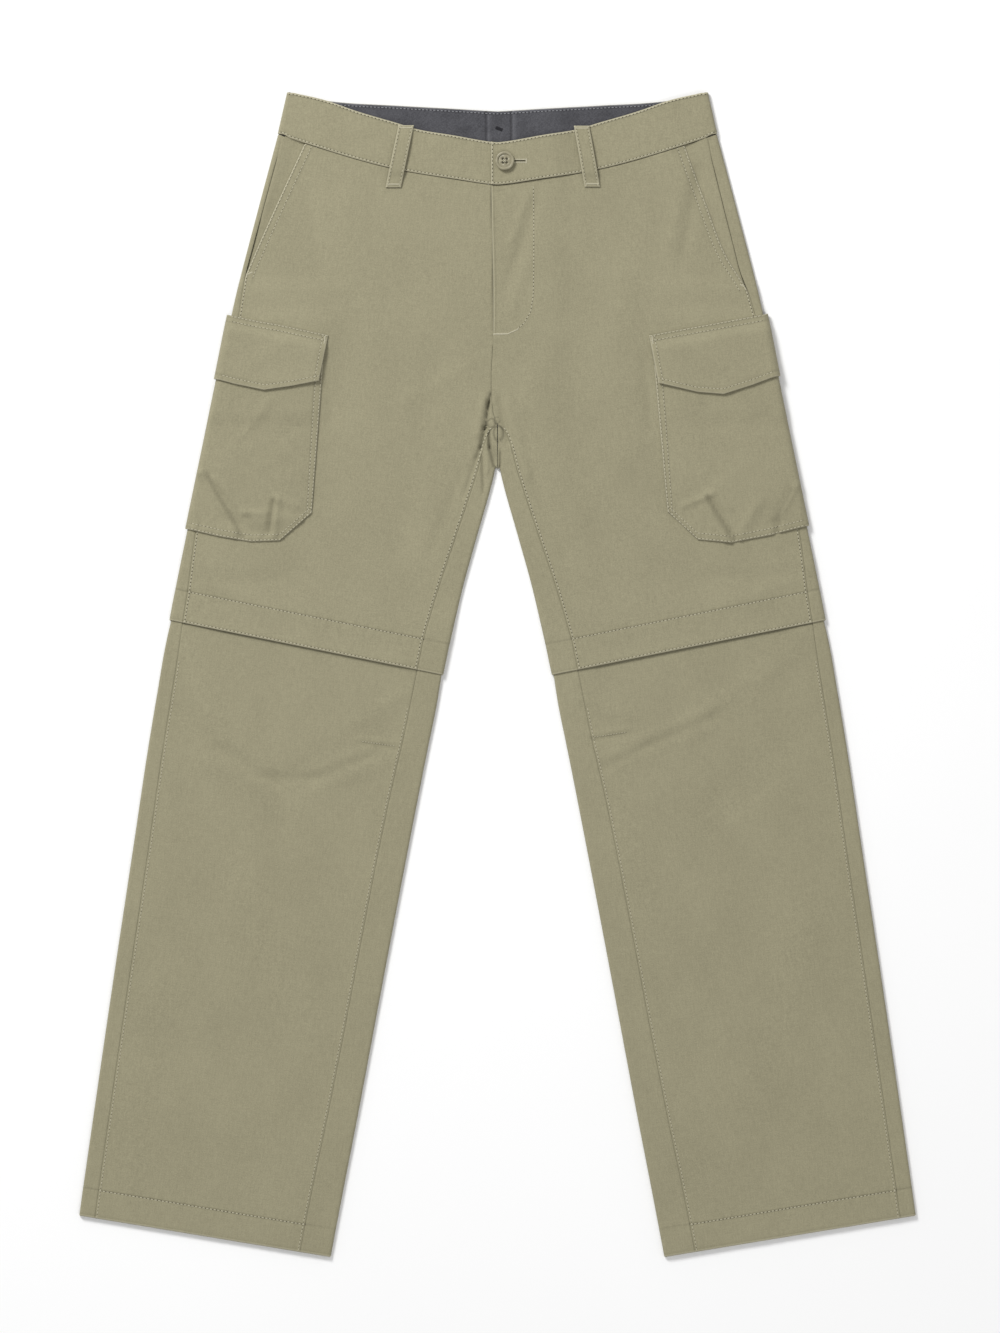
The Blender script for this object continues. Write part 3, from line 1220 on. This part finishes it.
def pocket_line(x, side):
    (outer_x, outer_y), *_, (inner_x, inner_y) = POCKETS[side]["pocket"][0]
    return mix(outer_y, inner_y, (outer_x - x) / (outer_x - inner_x))


def cargo_pocket(side):
    def base(x, y):
        return POCKET_CLEAR * LAYER * under_layers(x, y, side)[1]

    def lifted(x, y):
        return thigh_top(x, y, side) + POCKET_STAND

    grid, seen = wrapped(side, "pocket", base, lifted, POCKET_REACH, POCKET_SLACK)
    visible = (np.arange(grid.shape[1]) < seen + 4)[None, :]
    shape = Relief(grid, 260 + side)
    shape.turned("start", 1.0, 1.8, 1.0, 0.9, 0.15).line("start", 7.0, 0.25)
    shape.turned("bottom", 1.0, 1.8, visible, 0.9, 0.3)
    shape.pucker("bottom", 6.0, 7.0, 0.35, visible)
    shape.rise += 0.16 * mottle(grid[..., 0], grid[..., 1], 41 + side, 16, 50) * visible
    shape.worn -= hollows(grid[..., 0], grid[..., 1], side, "pocket", 3.4, 0.42) * visible
    made = mirrored(shape.done(), side)
    name = f"cloth_cargo_pocket_{NAMES[side]}"
    return shell(name, [(made, shape.walls, shape.worn)], KHAKI[side]), made[:, :seen]


def cargo_flap(side):
    def base(x, y):
        return 0.0 * x

    def lifted(x, y):
        on_pocket = ease(y, pocket_line(x, side) + 26, pocket_line(x, side) + 13)
        return thigh_top(x, y, side) + POCKET_STAND + on_pocket * (LAYER + POCKET_SLACK)

    grid, seen = wrapped(side, "flap", base, lifted, FLAP_REACH, 0.0)
    visible = (np.arange(grid.shape[1]) < seen + 4)[None, :]
    shape = Relief(grid, 280 + side)
    shape.walls[:] = DOUBLED
    shape.turned("start", 0.9, 5.5, 1.0, 0.8, 0.08).turned("bottom", 0.9, 5.5, visible, 0.8, 0.1)
    shape.turned("top", 1.2, 1.6, visible, 0.4, 0.08).line("top", 6.5, 0.2, visible)
    shape.rise += 0.1 * mottle(grid[..., 0], grid[..., 1], 51 + side, 20, 60) * visible
    shape.rise += FLAP_LIFT * bump(shape.far["bottom"], 12) * visible
    made = mirrored(shape.done(), side)
    name = f"cloth_cargo_flap_{NAMES[side]}"
    return shell(name, [(made, shape.walls, shape.worn)], KHAKI[side]), made[:, :seen]


def strap(name, points, heights, upward, material):
    """A belt loop: a narrow strip of folded cloth along points, at the given outer heights."""
    over = spread(LOOP_WIDTH, 1.6) - LOOP_WIDTH / 2
    x = points[:, :1] + over[None, :]
    y = points[:, 1:] + 0 * x
    grid = np.stack([x, y, heights[:, None] + 0 * x], axis=-1)
    shape = Relief(grid, 300 + len(name))
    shape.walls[:] = DOUBLED
    if upward:
        for edge in ("start", "end"):
            shape.turned(edge, 0.8, 2.4, 1.0, 0.9, 0.05)
        for edge in ("top", "bottom"):
            shape.turned(edge, 0.8, 2.0, 1.0, 0.9, 0.05)
    made = shape.done()
    return shell(name, [(made, shape.walls, shape.worn)], material, upward=upward), made


def front_loop(loop):
    side, top_x, top_y, low_x, low_y = loop
    t = spread(LOOP_LENGTH, 2.0) / LOOP_LENGTH
    x, y = mix(top_x, low_x, t), mix(top_y, low_y, t)
    on_band = ease(y, front_bottom(x) - 8, front_bottom(x) - 1)
    base = mix(thigh_top(x, y, side) + 0.4, band_top(x - LOOP_WIDTH / 2, side) + 0.2, on_band)
    heights = base + LAYER + LOOP_SLACK * np.sin(math.pi * t)
    name = f"cloth_front_loop_{NAMES[side]}"
    return strap(name, np.stack([side * x, y], 1), heights, True, KHAKI_STRAIGHT)


def back_loop(name, centre):
    t = spread(LOOP_LENGTH, 6.0) / LOOP_LENGTH
    points = np.stack([centre + 0 * t, back_top(abs(centre)) - 1.0 - LOOP_LENGTH * t], 1)
    return strap(f"cloth_back_loop_{name}", points, 0 * t, False, KHAKI_STRAIGHT)


# Small solids joined into one mesh

class Bits:
    """Gathers small closed solids, and makes one piece of them."""

    def __init__(self, name):
        self.name, self.points, self.faces, self.kinds = name, [], [], []

    def add(self, face, kind=0):
        self.faces.append(face)
        self.kinds.append(kind)

    def tube(self, stations, radii, sides=6):
        """A closed tube through stations, each a point in metres, with a radius at each."""
        start = len(self.points)
        way = (stations[-1] - stations[0]).normalized()
        across_way = way.cross(Vector((0, 0, 1)))
        if across_way.length < 0.1:
            across_way = Vector((1, 0, 0))
        across_way.normalize()
        up = across_way.cross(way)
        for centre, radius in zip(stations, radii):
            for step in range(sides):
                angle = 2 * math.pi * step / sides
                offset = across_way * (radius * math.cos(angle)) + up * (radius * math.sin(angle))
                self.points.append(centre + offset)
        for ring in range(len(stations) - 1):
            for step in range(sides):
                a, b = start + ring * sides + step, start + ring * sides + (step + 1) % sides
                self.add((a, b, b + sides, a + sides))
        self.add(tuple(start + step for step in reversed(range(sides))))
        last = start + (len(stations) - 1) * sides
        self.add(tuple(last + step for step in range(sides)))

    def pit(self, centre, radius, sides=6):
        """The dark dot where a thread goes into the cloth: a shallow plug, just proud of it."""
        start = len(self.points)
        for height in (0.05, -0.25):
            for step in range(sides):
                angle = 2 * math.pi * step / sides
                place = (radius * math.cos(angle), radius * math.sin(angle), height)
                self.points.append(centre + Vector(place) * MM)
        self.add(tuple(start + step for step in range(sides)), 1)
        self.add(tuple(start + sides + step for step in reversed(range(sides))), 1)
        for step in range(sides):
            a, b = start + step, start + (step + 1) % sides
            self.add((a + sides, b + sides, b, a), 1)

    def piece(self, materials, slot):
        mesh = bpy.data.meshes.new(self.name)
        mesh.from_pydata([tuple(p) for p in self.points], [], self.faces)
        build = bmesh.new()
        build.from_mesh(mesh)
        bmesh.ops.recalc_face_normals(build, faces=build.faces)
        build.to_mesh(mesh)
        build.free()
        mesh.polygons.foreach_set("use_smooth", [kind == 0 for kind in self.kinds])
        mesh.polygons.foreach_set("material_index", self.kinds)
        made = link(self.name, mesh, materials[0])
        if any(self.kinds):
            mesh.materials.append(materials[1])
        return made


def drop(x, y, names):
    """The highest of the named surfaces under a place, in metres."""
    best = None
    for name in names:
        hit = surfaces[name].ray_cast(Vector((x * MM, y * MM, 0.1)), Vector((0, 0, -1)))[0]
        if hit is not None and (best is None or hit.z > best.z):
            best = hit
    return best


def resampled(path, pitch):
    """Distances and a reader for even steps along a path."""
    path = np.asarray(path, float)
    far = np.concatenate([[0], np.cumsum(np.linalg.norm(np.diff(path, axis=0), axis=1))])
    return far[-1], lambda s: (np.interp(s, far, path[:, 0]), np.interp(s, far, path[:, 1]))


def sew(bits, path, names, pitch=STITCH_PITCH, length=STITCH_LENGTH, thread=THREAD, hole=NEEDLE_HOLE):
    """Stitches along a path, each dipping into the cloth at both ends."""
    total, read = resampled(path, pitch)
    count = max(1, round(total / pitch))
    for number in range(count):
        middle = (number + 0.5) * total / count
        stations = []
        for share, sunk in ((-0.5, 0.3), (-0.3, -0.05), (0.0, -0.12), (0.3, -0.05), (0.5, 0.3)):
            hit = drop(*read(np.clip(middle + share * length, 0, total)), names)
            if hit is None:
                break
            stations.append(hit - Vector((0, 0, sunk * MM)))
        if len(stations) == 5 and (stations[-1] - stations[0]).length > 0.3 * length * MM:
            bits.tube(stations, [thread * share * MM for share in (0.6, 0.95, 1.0, 0.95, 0.6)])
            hit = drop(*read(min(total, (number + 1) * total / count)), names) if hole else None
            if hit is not None:
                bits.pit(hit, hole)


def stitching(name, runs, names, materials=(SEWING, HOLE), slot="khaki_cloth", **how):
    bits = Bits(f"stitches_{name}")
    for path in runs:
        sew(bits, path, names, **how)
    return bits.piece(materials, slot)


def bartack(bits, start, end, names, width=2.2):
    """A dense zigzag bar of stitches."""
    start, end = np.array(start, float), np.array(end, float)
    way = (end - start) / np.linalg.norm(end - start)
    over = np.array([-way[1], way[0]]) * width / 2
    count = int(np.linalg.norm(end - start) / 0.55)
    for number in range(count + 1):
        at = mix(start, end, number / count)
        sew(bits, [at - over, at + over], names, width, width, 0.3, None)


def keep(node_name, piece):
    """Puts a fine piece in the place of its CAD node."""
    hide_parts(node_name)
    return piece


for side, which in NAMES.items():
    thigh, thigh_grid = front_thigh(side)
    keep(f"front_thigh_{which}", thigh)
    keep(f"back_thigh_{which}", back_thigh(side))
    keep(f"pocket_facing_{which}", pocket_facing(side))
    shin, shin_grid = front_shin(side)
    keep(f"front_shin_{which}", shin)
    keep(f"back_shin_{which}", back_shin(side))
    tape, tape_grid = knee_tape(side)
    keep(f"knee_zip_{which}", tape)
    tape_row = tape_grid[len(tape_grid) // 2, :70, :2]
    stitching(f"zip_coil_{which}", [tape_row], [tape.name], (COIL,), "zip_tape", pitch=1.6, length=1.4,
              thread=0.3, hole=None)
    pocket, pocket_grid = cargo_pocket(side)
    keep(f"cargo_pocket_{which}", pocket)
    flap, flap_grid = cargo_flap(side)
    keep(f"cargo_flap_{which}", flap)
    band, band_grid = waistband(side)
    keep(f"waistband_{which}", band)

    front_name, back_name = f"cloth_front_thigh_{which}", f"cloth_back_thigh_{which}"
    mouth_share = float(np.mean(thigh_grid[:, 0, 1] >= MOUTH[side][-1][0] + 4))
    stitching(f"pocket_mouth_{which}", [path_inside(thigh_grid, "start", inset, 0, mouth_share)
                                        for inset in (1.8, 8.0)], [front_name], **FAINT)
    stitching(f"side_seam_{which}", [path_inside(thigh_grid, "start", 2.0, mouth_share, 1.0)],
              [front_name])
    stitching(f"knee_hem_{which}", [path_inside(thigh_grid, "bottom", KNEE_HEM_DEPTH),
                                    path_inside(thigh_grid, "bottom", 2.0)], [front_name])
    inseam_share = float(np.mean(thigh_grid[:, -1, 1] >= TIP_Y - 3))
    stitching(f"inseam_{which}", [path_inside(thigh_grid, "end", 2.0, inseam_share, 1.0)], [front_name])
    stitching(f"shin_seams_{which}", [path_inside(shin_grid, edge, 2.0, 0.08, 1.0)
                                      for edge in ("start", "end")], [f"cloth_front_shin_{which}"],
              thread=0.36, hole=0.36)
    stitching(f"leg_hem_{which}", [path_inside(shin_grid, "bottom", LEG_HEM_DEPTH)],
              [f"cloth_front_shin_{which}"])
    pocket_name, flap_name = f"cloth_cargo_pocket_{which}", f"cloth_cargo_flap_{which}"
    stitching(f"cargo_pocket_{which}", [path_inside(pocket_grid, edge, inset, first)
                                        for edge, first in (("start", 0.1), ("bottom", 0.0))
                                        for inset in (1.8, 7.0)], [pocket_name], **FAINT)
    stitching(f"cargo_flap_{which}", [path_inside(flap_grid, edge, inset)
                                      for edge, inset in (("start", 5.5), ("bottom", 5.5), ("top", 1.6),
                                                          ("top", 6.5))], [flap_name], **FAINT)
    band_name = f"cloth_waistband_{which}"
    edges = ("top", "bottom", "start") if side > 0 else ("top", "bottom")
    stitching(f"waistband_{which}", [path_inside(band_grid, edge, 2.2) for edge in edges],
              [band_name], hole=0.6)

facing, facing_grid = waistband_facing()
keep("waistband_facing", facing)
stitching("waistband_facing", [path_inside(facing_grid, "bottom", 2.6)], ["cloth_waistband_facing"],
          (GREY_SEWING, GREY_NEEDLE), "grey_facing", thread=0.34)
tape, tape_grid = fly_tape()
keep("fly_zip", tape)
fly_line = np.stack([np.full(30, ZIP_EDGE_X + ZIP_WIDTH / 2), np.linspace(464, FLY_END_Y + 28, 30)], 1)
stitching("zip_coil_fly", [fly_line], ["tape_fly"], (COIL,), "zip_tape", pitch=1.6, length=1.4,
          thread=0.3, hole=None)

for loop in FRONT_LOOPS:
    piece, grid = front_loop(loop)
    keep(f"front_belt_loop_{NAMES[loop[0]]}", piece)
    stitching(f"front_loop_{NAMES[loop[0]]}", [path_inside(grid, edge, 2.4) for edge in ("start", "end")],
              [piece.name], thread=0.3, hole=0.4)
for which, centre in BACK_LOOPS:
    piece, grid = back_loop(which, centre)
    keep(f"back_belt_loop_{which}", piece)

stitching("fly", [FLY_STITCH], ["cloth_front_thigh_left"], thread=0.36, hole=0.5)


def button_holes():
    turns = [math.pi / 4 + number * math.pi / 2 for number in range(4)]
    return [(BUTTON_X + HOLE_SPREAD * math.cos(t), BUTTON_Y + HOLE_SPREAD * math.sin(t)) for t in turns]


def cut_away(piece, bits):
    """Cuts solids out of a piece and leaves plain mesh behind."""
    cutter = bits.piece((HOLE,), "button")
    knife = piece.modifiers.new("cut", "BOOLEAN")
    knife.object, knife.operation, knife.solver = cutter, "DIFFERENCE", "EXACT"
    result = piece.evaluated_get(bpy.context.evaluated_depsgraph_get())
    mesh = bpy.data.meshes.new_from_object(result)
    piece.modifiers.clear()
    piece.data = mesh
    bpy.data.objects.remove(cutter)


def button():
    """The button: a turned disc with a raised rim, a dish and four holes."""
    top, rim = BUTTON_DEPTH, BUTTON_RADIUS
    profile = ((0.0, top - 1.1), (rim - 3.5, top - 1.1), (rim - 3.1, top - 1.45), (rim - 2.7, top - 1.2),
               (rim - 2.45, top - 0.3),
               (rim - 1.9, top - 0.05), (rim - 1.3, top), (rim - 0.7, top - 0.15), (rim - 0.25, top - 0.55),
               (rim, top - 1.1), (rim - 0.1, 1.1), (rim - 0.5, 0.5), (rim - 1.2, 0.1), (rim - 2.0, 0.0),
               (0.0, 0.0))
    base = BAND_HEIGHT + OVERLAP_LIFT + BUTTON_SHANK
    build = bmesh.new()
    verts = [build.verts.new((x * MM, 0, z * MM)) for x, z in profile]
    edges = [build.edges.new(pair) for pair in zip(verts, verts[1:])]
    bmesh.ops.spin(build, geom=verts + edges, cent=(0, 0, 0), axis=(0, 0, 1), angle=2 * math.pi,
                   steps=64, use_merge=True, use_duplicate=False)
    bmesh.ops.remove_doubles(build, verts=build.verts, dist=0.00001)
    bmesh.ops.recalc_face_normals(build, faces=build.faces)
    mesh = bpy.data.meshes.new("button_disc")
    build.to_mesh(mesh)
    build.free()
    mesh.polygons.foreach_set("use_smooth", [True] * len(mesh.polygons))
    piece = link("button_disc", mesh, PLASTIC)
    mesh.transform(Matrix.Translation((BUTTON_X * MM, BUTTON_Y * MM, base * MM)))
    holes = Bits("button_hole_cutters")
    for x, y in button_holes():
        low, high = Vector((x, y, base - 1)) * MM, Vector((x, y, base + top + 1)) * MM
        holes.tube([low, high], [HOLE_RADIUS * MM] * 2, 20)
    cut_away(piece, holes)
    return piece, base


disc, button_base = button()
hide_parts("button")


def button_thread():
    """Thread through the four holes, two strands over each pair."""
    bits = Bits("button_thread")
    dish = button_base + BUTTON_DEPTH - 1.1
    corners = button_holes()
    for first, second in ((0, 2), (1, 3)):
        (x0, y0), (x1, y1) = corners[first], corners[second]
        for shift in (-0.2, 0.2):
            stations = []
            for t, z in ((0, -1.2), (0.03, 0.1), (0.3, 0.35), (0.5, 0.42), (0.7, 0.35), (0.97, 0.1), (1, -1.2)):
                across_x, across_y = (y0 - y1), (x1 - x0)
                reach = shift / math.hypot(across_x, across_y)
                stations.append(Vector((mix(x0, x1, t) + across_x * reach,
                                        mix(y0, y1, t) + across_y * reach, dish + z)) * MM)
            bits.tube(stations, [0.17 * MM] * len(stations))
    for x, y in corners:
        bits.pit(Vector((x, y, dish - 0.35)) * MM, 0.97 * HOLE_RADIUS, 16)
    bits.piece((SEWING, HOLE), "khaki_cloth")


def buttonhole():
    """The slot in the wearer's left waistband, and the stitches round it."""
    band = bpy.data.objects["cloth_waistband_left"]
    middle = BUTTON_X + SLOT_SHIFT
    low, high = middle - SLOT_LENGTH / 2, middle + SLOT_LENGTH / 2
    bits = Bits("slot_cutter")
    z = (BAND_HEIGHT + OVERLAP_LIFT) * MM
    corner = SLOT_WIDTH / 2
    for x, y in ((low, -corner), (high, -corner), (high, corner), (low, corner)):
        bits.points += [Vector((x * MM, (BUTTON_Y + y) * MM, z - 4 * MM)),
                        Vector((x * MM, (BUTTON_Y + y) * MM, z + 3 * MM))]
    for face in ((0, 2, 4, 6), (7, 5, 3, 1), (0, 1, 3, 2), (2, 3, 5, 4), (4, 5, 7, 6), (6, 7, 1, 0)):
        bits.add(face)
    cut_away(band, bits)
    bits = Bits("stitches_buttonhole")
    names = ["cloth_waistband_left"]
    for x in np.arange(low + 10, high + 0.01, 0.5):
        for way in (-1, 1):
            near, far = BUTTON_Y + way * corner, BUTTON_Y + way * (corner + 1.5)
            sew(bits, [(x, near), (x, far)], names, 1.5, 1.5, 0.3, None)
    for y in np.arange(BUTTON_Y - corner - 1.5, BUTTON_Y + corner + 1.6, 0.5):
        sew(bits, [(high, y), (high + 1.7, y)], names, 1.7, 1.7, 0.32, None)
    bits.piece((SEWING,), "khaki_cloth")


def bartacks():
    """Dense bars of stitches where seams are pulled most."""
    bits = Bits("stitches_bartacks")
    left = ["cloth_front_thigh_left", "cloth_front_thigh_right"]
    bartack(bits, (-4, 328), (9, 328.5), left)
    bartack(bits, (9, 328), (20, 333), left, 1.6)
    for side, top_x, top_y, low_x, low_y in FRONT_LOOPS:
        names = [f"cloth_front_loop_{NAMES[side]}"]
        half = LOOP_WIDTH / 2 - 1.5
        bartack(bits, (side * low_x - half, low_y + 3.0), (side * low_x + half, low_y + 3.0), names, 2.0)
        bartack(bits, (side * top_x - half, top_y - 2.5), (side * top_x + half, top_y - 2.5), names, 1.6)
    for side, which in NAMES.items():
        front = [f"cloth_front_thigh_{which}"]
        end_y, end_x = MOUTH[side][-1]
        bartack(bits, (side * (end_x - 2), end_y + 5), (side * (end_x - 8.5), end_y + 8), front, 1.8)
        flap = [f"cloth_cargo_flap_{which}"]
        (corner_x, corner_y) = POCKETS[side]["flap"][0][-1]
        bartack(bits, (side * (corner_x + 3), corner_y - 1), (side * (corner_x + 3.8), corner_y - 8), flap, 2.0)
        shin = [f"cloth_front_shin_{which}"]
        start, end = ((99, -71.0), (131, -66.5)) if side < 0 else ((90, -62.8), (124, -57.6))
        sew(bits, [(side * start[0], start[1] + 2), (side * end[0], end[1] + 2)], shin, 2.6, 1.9, 0.26, 0.3)
    bits.piece((SEWING, HOLE), "khaki_cloth")
    bits = Bits("stitches_facing_bartack")
    bartack(bits, (-1.5, 527.4), (4.5, 525.0), ["cloth_waistband_facing"], 4.0)
    bits.piece((GREY_NEEDLE,), "grey_facing")


button_thread()
buttonhole()
bartacks()

# The flat cut of each piece with its hems and turnings: width, length and area in metres

CUTS = {
    "front_thigh_right": (0.28, 0.58, 0.135), "front_thigh_left": (0.28, 0.58, 0.135),
    "back_thigh_right": (0.36, 0.58, 0.160), "back_thigh_left": (0.36, 0.58, 0.160),
    "pocket_facing_right": (0.05, 0.16, 0.0039), "pocket_facing_left": (0.05, 0.17, 0.0045),
    "front_shin_right": (0.25, 0.66, 0.146), "front_shin_left": (0.25, 0.66, 0.146),
    "back_shin_right": (0.32, 0.66, 0.198), "back_shin_left": (0.32, 0.66, 0.198),
    "knee_zip_right": (0.018, 0.54, 0.0094), "knee_zip_left": (0.018, 0.54, 0.0094),
    "cargo_pocket_right": (0.20, 0.21, 0.0370), "cargo_pocket_left": (0.21, 0.21, 0.0395),
    "cargo_flap_right": (0.16, 0.09, 0.0122), "cargo_flap_left": (0.18, 0.09, 0.0134),
    "waistband_right": (0.048, 0.48, 0.0215), "waistband_left": (0.048, 0.46, 0.0204),
    "waistband_facing": (0.042, 0.40, 0.0162),
    "fly_zip": (0.020, 0.12, 0.0023),
    "front_belt_loop_right": (0.016, 0.066, 0.00105), "front_belt_loop_left": (0.016, 0.066, 0.00105),
    "back_belt_loop_centre": (0.016, 0.066, 0.00105), "back_belt_loop_right": (0.016, 0.066, 0.00105),
    "back_belt_loop_left": (0.016, 0.066, 0.00105),
}
SEWN_ON = {
    "front_thigh": ("pocket_mouth", "side_seam", "knee_hem", "inseam"),
    "front_shin": ("shin_seams", "leg_hem"),
    "cargo_pocket": ("cargo_pocket",),
    "cargo_flap": ("cargo_flap",),
    "waistband": ("waistband",),
    "front_belt_loop": ("front_loop",),
    "knee_zip": ("zip_coil",),
}
EXTRA = {
    "front_thigh_left": ("fly", "bartacks"),
    "waistband_left": ("buttonhole",),
    "waistband_facing": ("waistband_facing", "facing_bartack"),
    "fly_zip": ("zip_coil_fly",),
}


def declare_sheets():
    for node_name, (width, length, area) in CUTS.items():
        kind, _, which = node_name.rpartition("_")
        if which not in NAMES.values():
            kind, which = (kind, which) if kind == "back_belt_loop" else (node_name, "")
        sewn = [f"stitches_{run}_{which}" for run in SEWN_ON.get(kind, ())]
        sewn += [f"stitches_{run}" for run in EXTRA.get(node_name, ())]


# Floor, light and camera

FLOOR_SIZE = 6.0
CAMERA_HEIGHT = 7.0
VIEW_HEIGHT = 1.2863
VIEW_X, VIEW_Y = 0.0024, 0.0077
SENSOR = 36.0


def floor():
    mesh = bpy.data.meshes.new("floor")
    half = FLOOR_SIZE / 2
    mesh.from_pydata([(-half, -half, 0), (half, -half, 0), (half, half, 0), (-half, half, 0)], [],
                     [(0, 1, 2, 3)])
    made = bpy.data.objects.new("floor", mesh)
    mesh.materials.append(plain_material("pale_floor", tuple(0.985 * c for c in WHITE[:3]) + (1.0,),
                                         WHITE, 2.0, 0.9, 0.1))
    bpy.context.scene.collection.objects.link(made)


def light(name, place, power, size):
    data = bpy.data.lights.new(name, "AREA")
    data.energy, data.size, data.shape = power, size, "SQUARE"
    lamp = bpy.data.objects.new(name, data)
    lamp.location = place
    lamp.rotation_euler = (Vector((0, 0, 0)) - Vector(place)).to_track_quat("-Z", "Y").to_euler()
    bpy.context.scene.collection.objects.link(lamp)


floor()
declare_sheets()
light("soft_top", (-1.9, 2.8, 2.9), 158, 1.2)
light("soft_fill", (0.9, -1.8, 3.2), 24, 2.5)
world = bpy.data.worlds.new("studio")
world.use_nodes = True
world.node_tree.nodes["Background"].inputs["Color"].default_value = (1, 1, 1, 1)
world.node_tree.nodes["Background"].inputs["Strength"].default_value = 0.5
bpy.context.scene.world = world
bpy.context.scene.view_settings.view_transform = "Standard"

eye = bpy.data.cameras.new("camera")
eye.sensor_width = SENSOR
eye.lens = SENSOR * CAMERA_HEIGHT / VIEW_HEIGHT
eye.clip_end = 50
camera = bpy.data.objects.new("camera", eye)
camera.location = (VIEW_X, VIEW_Y, CAMERA_HEIGHT)
bpy.context.scene.collection.objects.link(camera)
bpy.context.scene.camera = camera
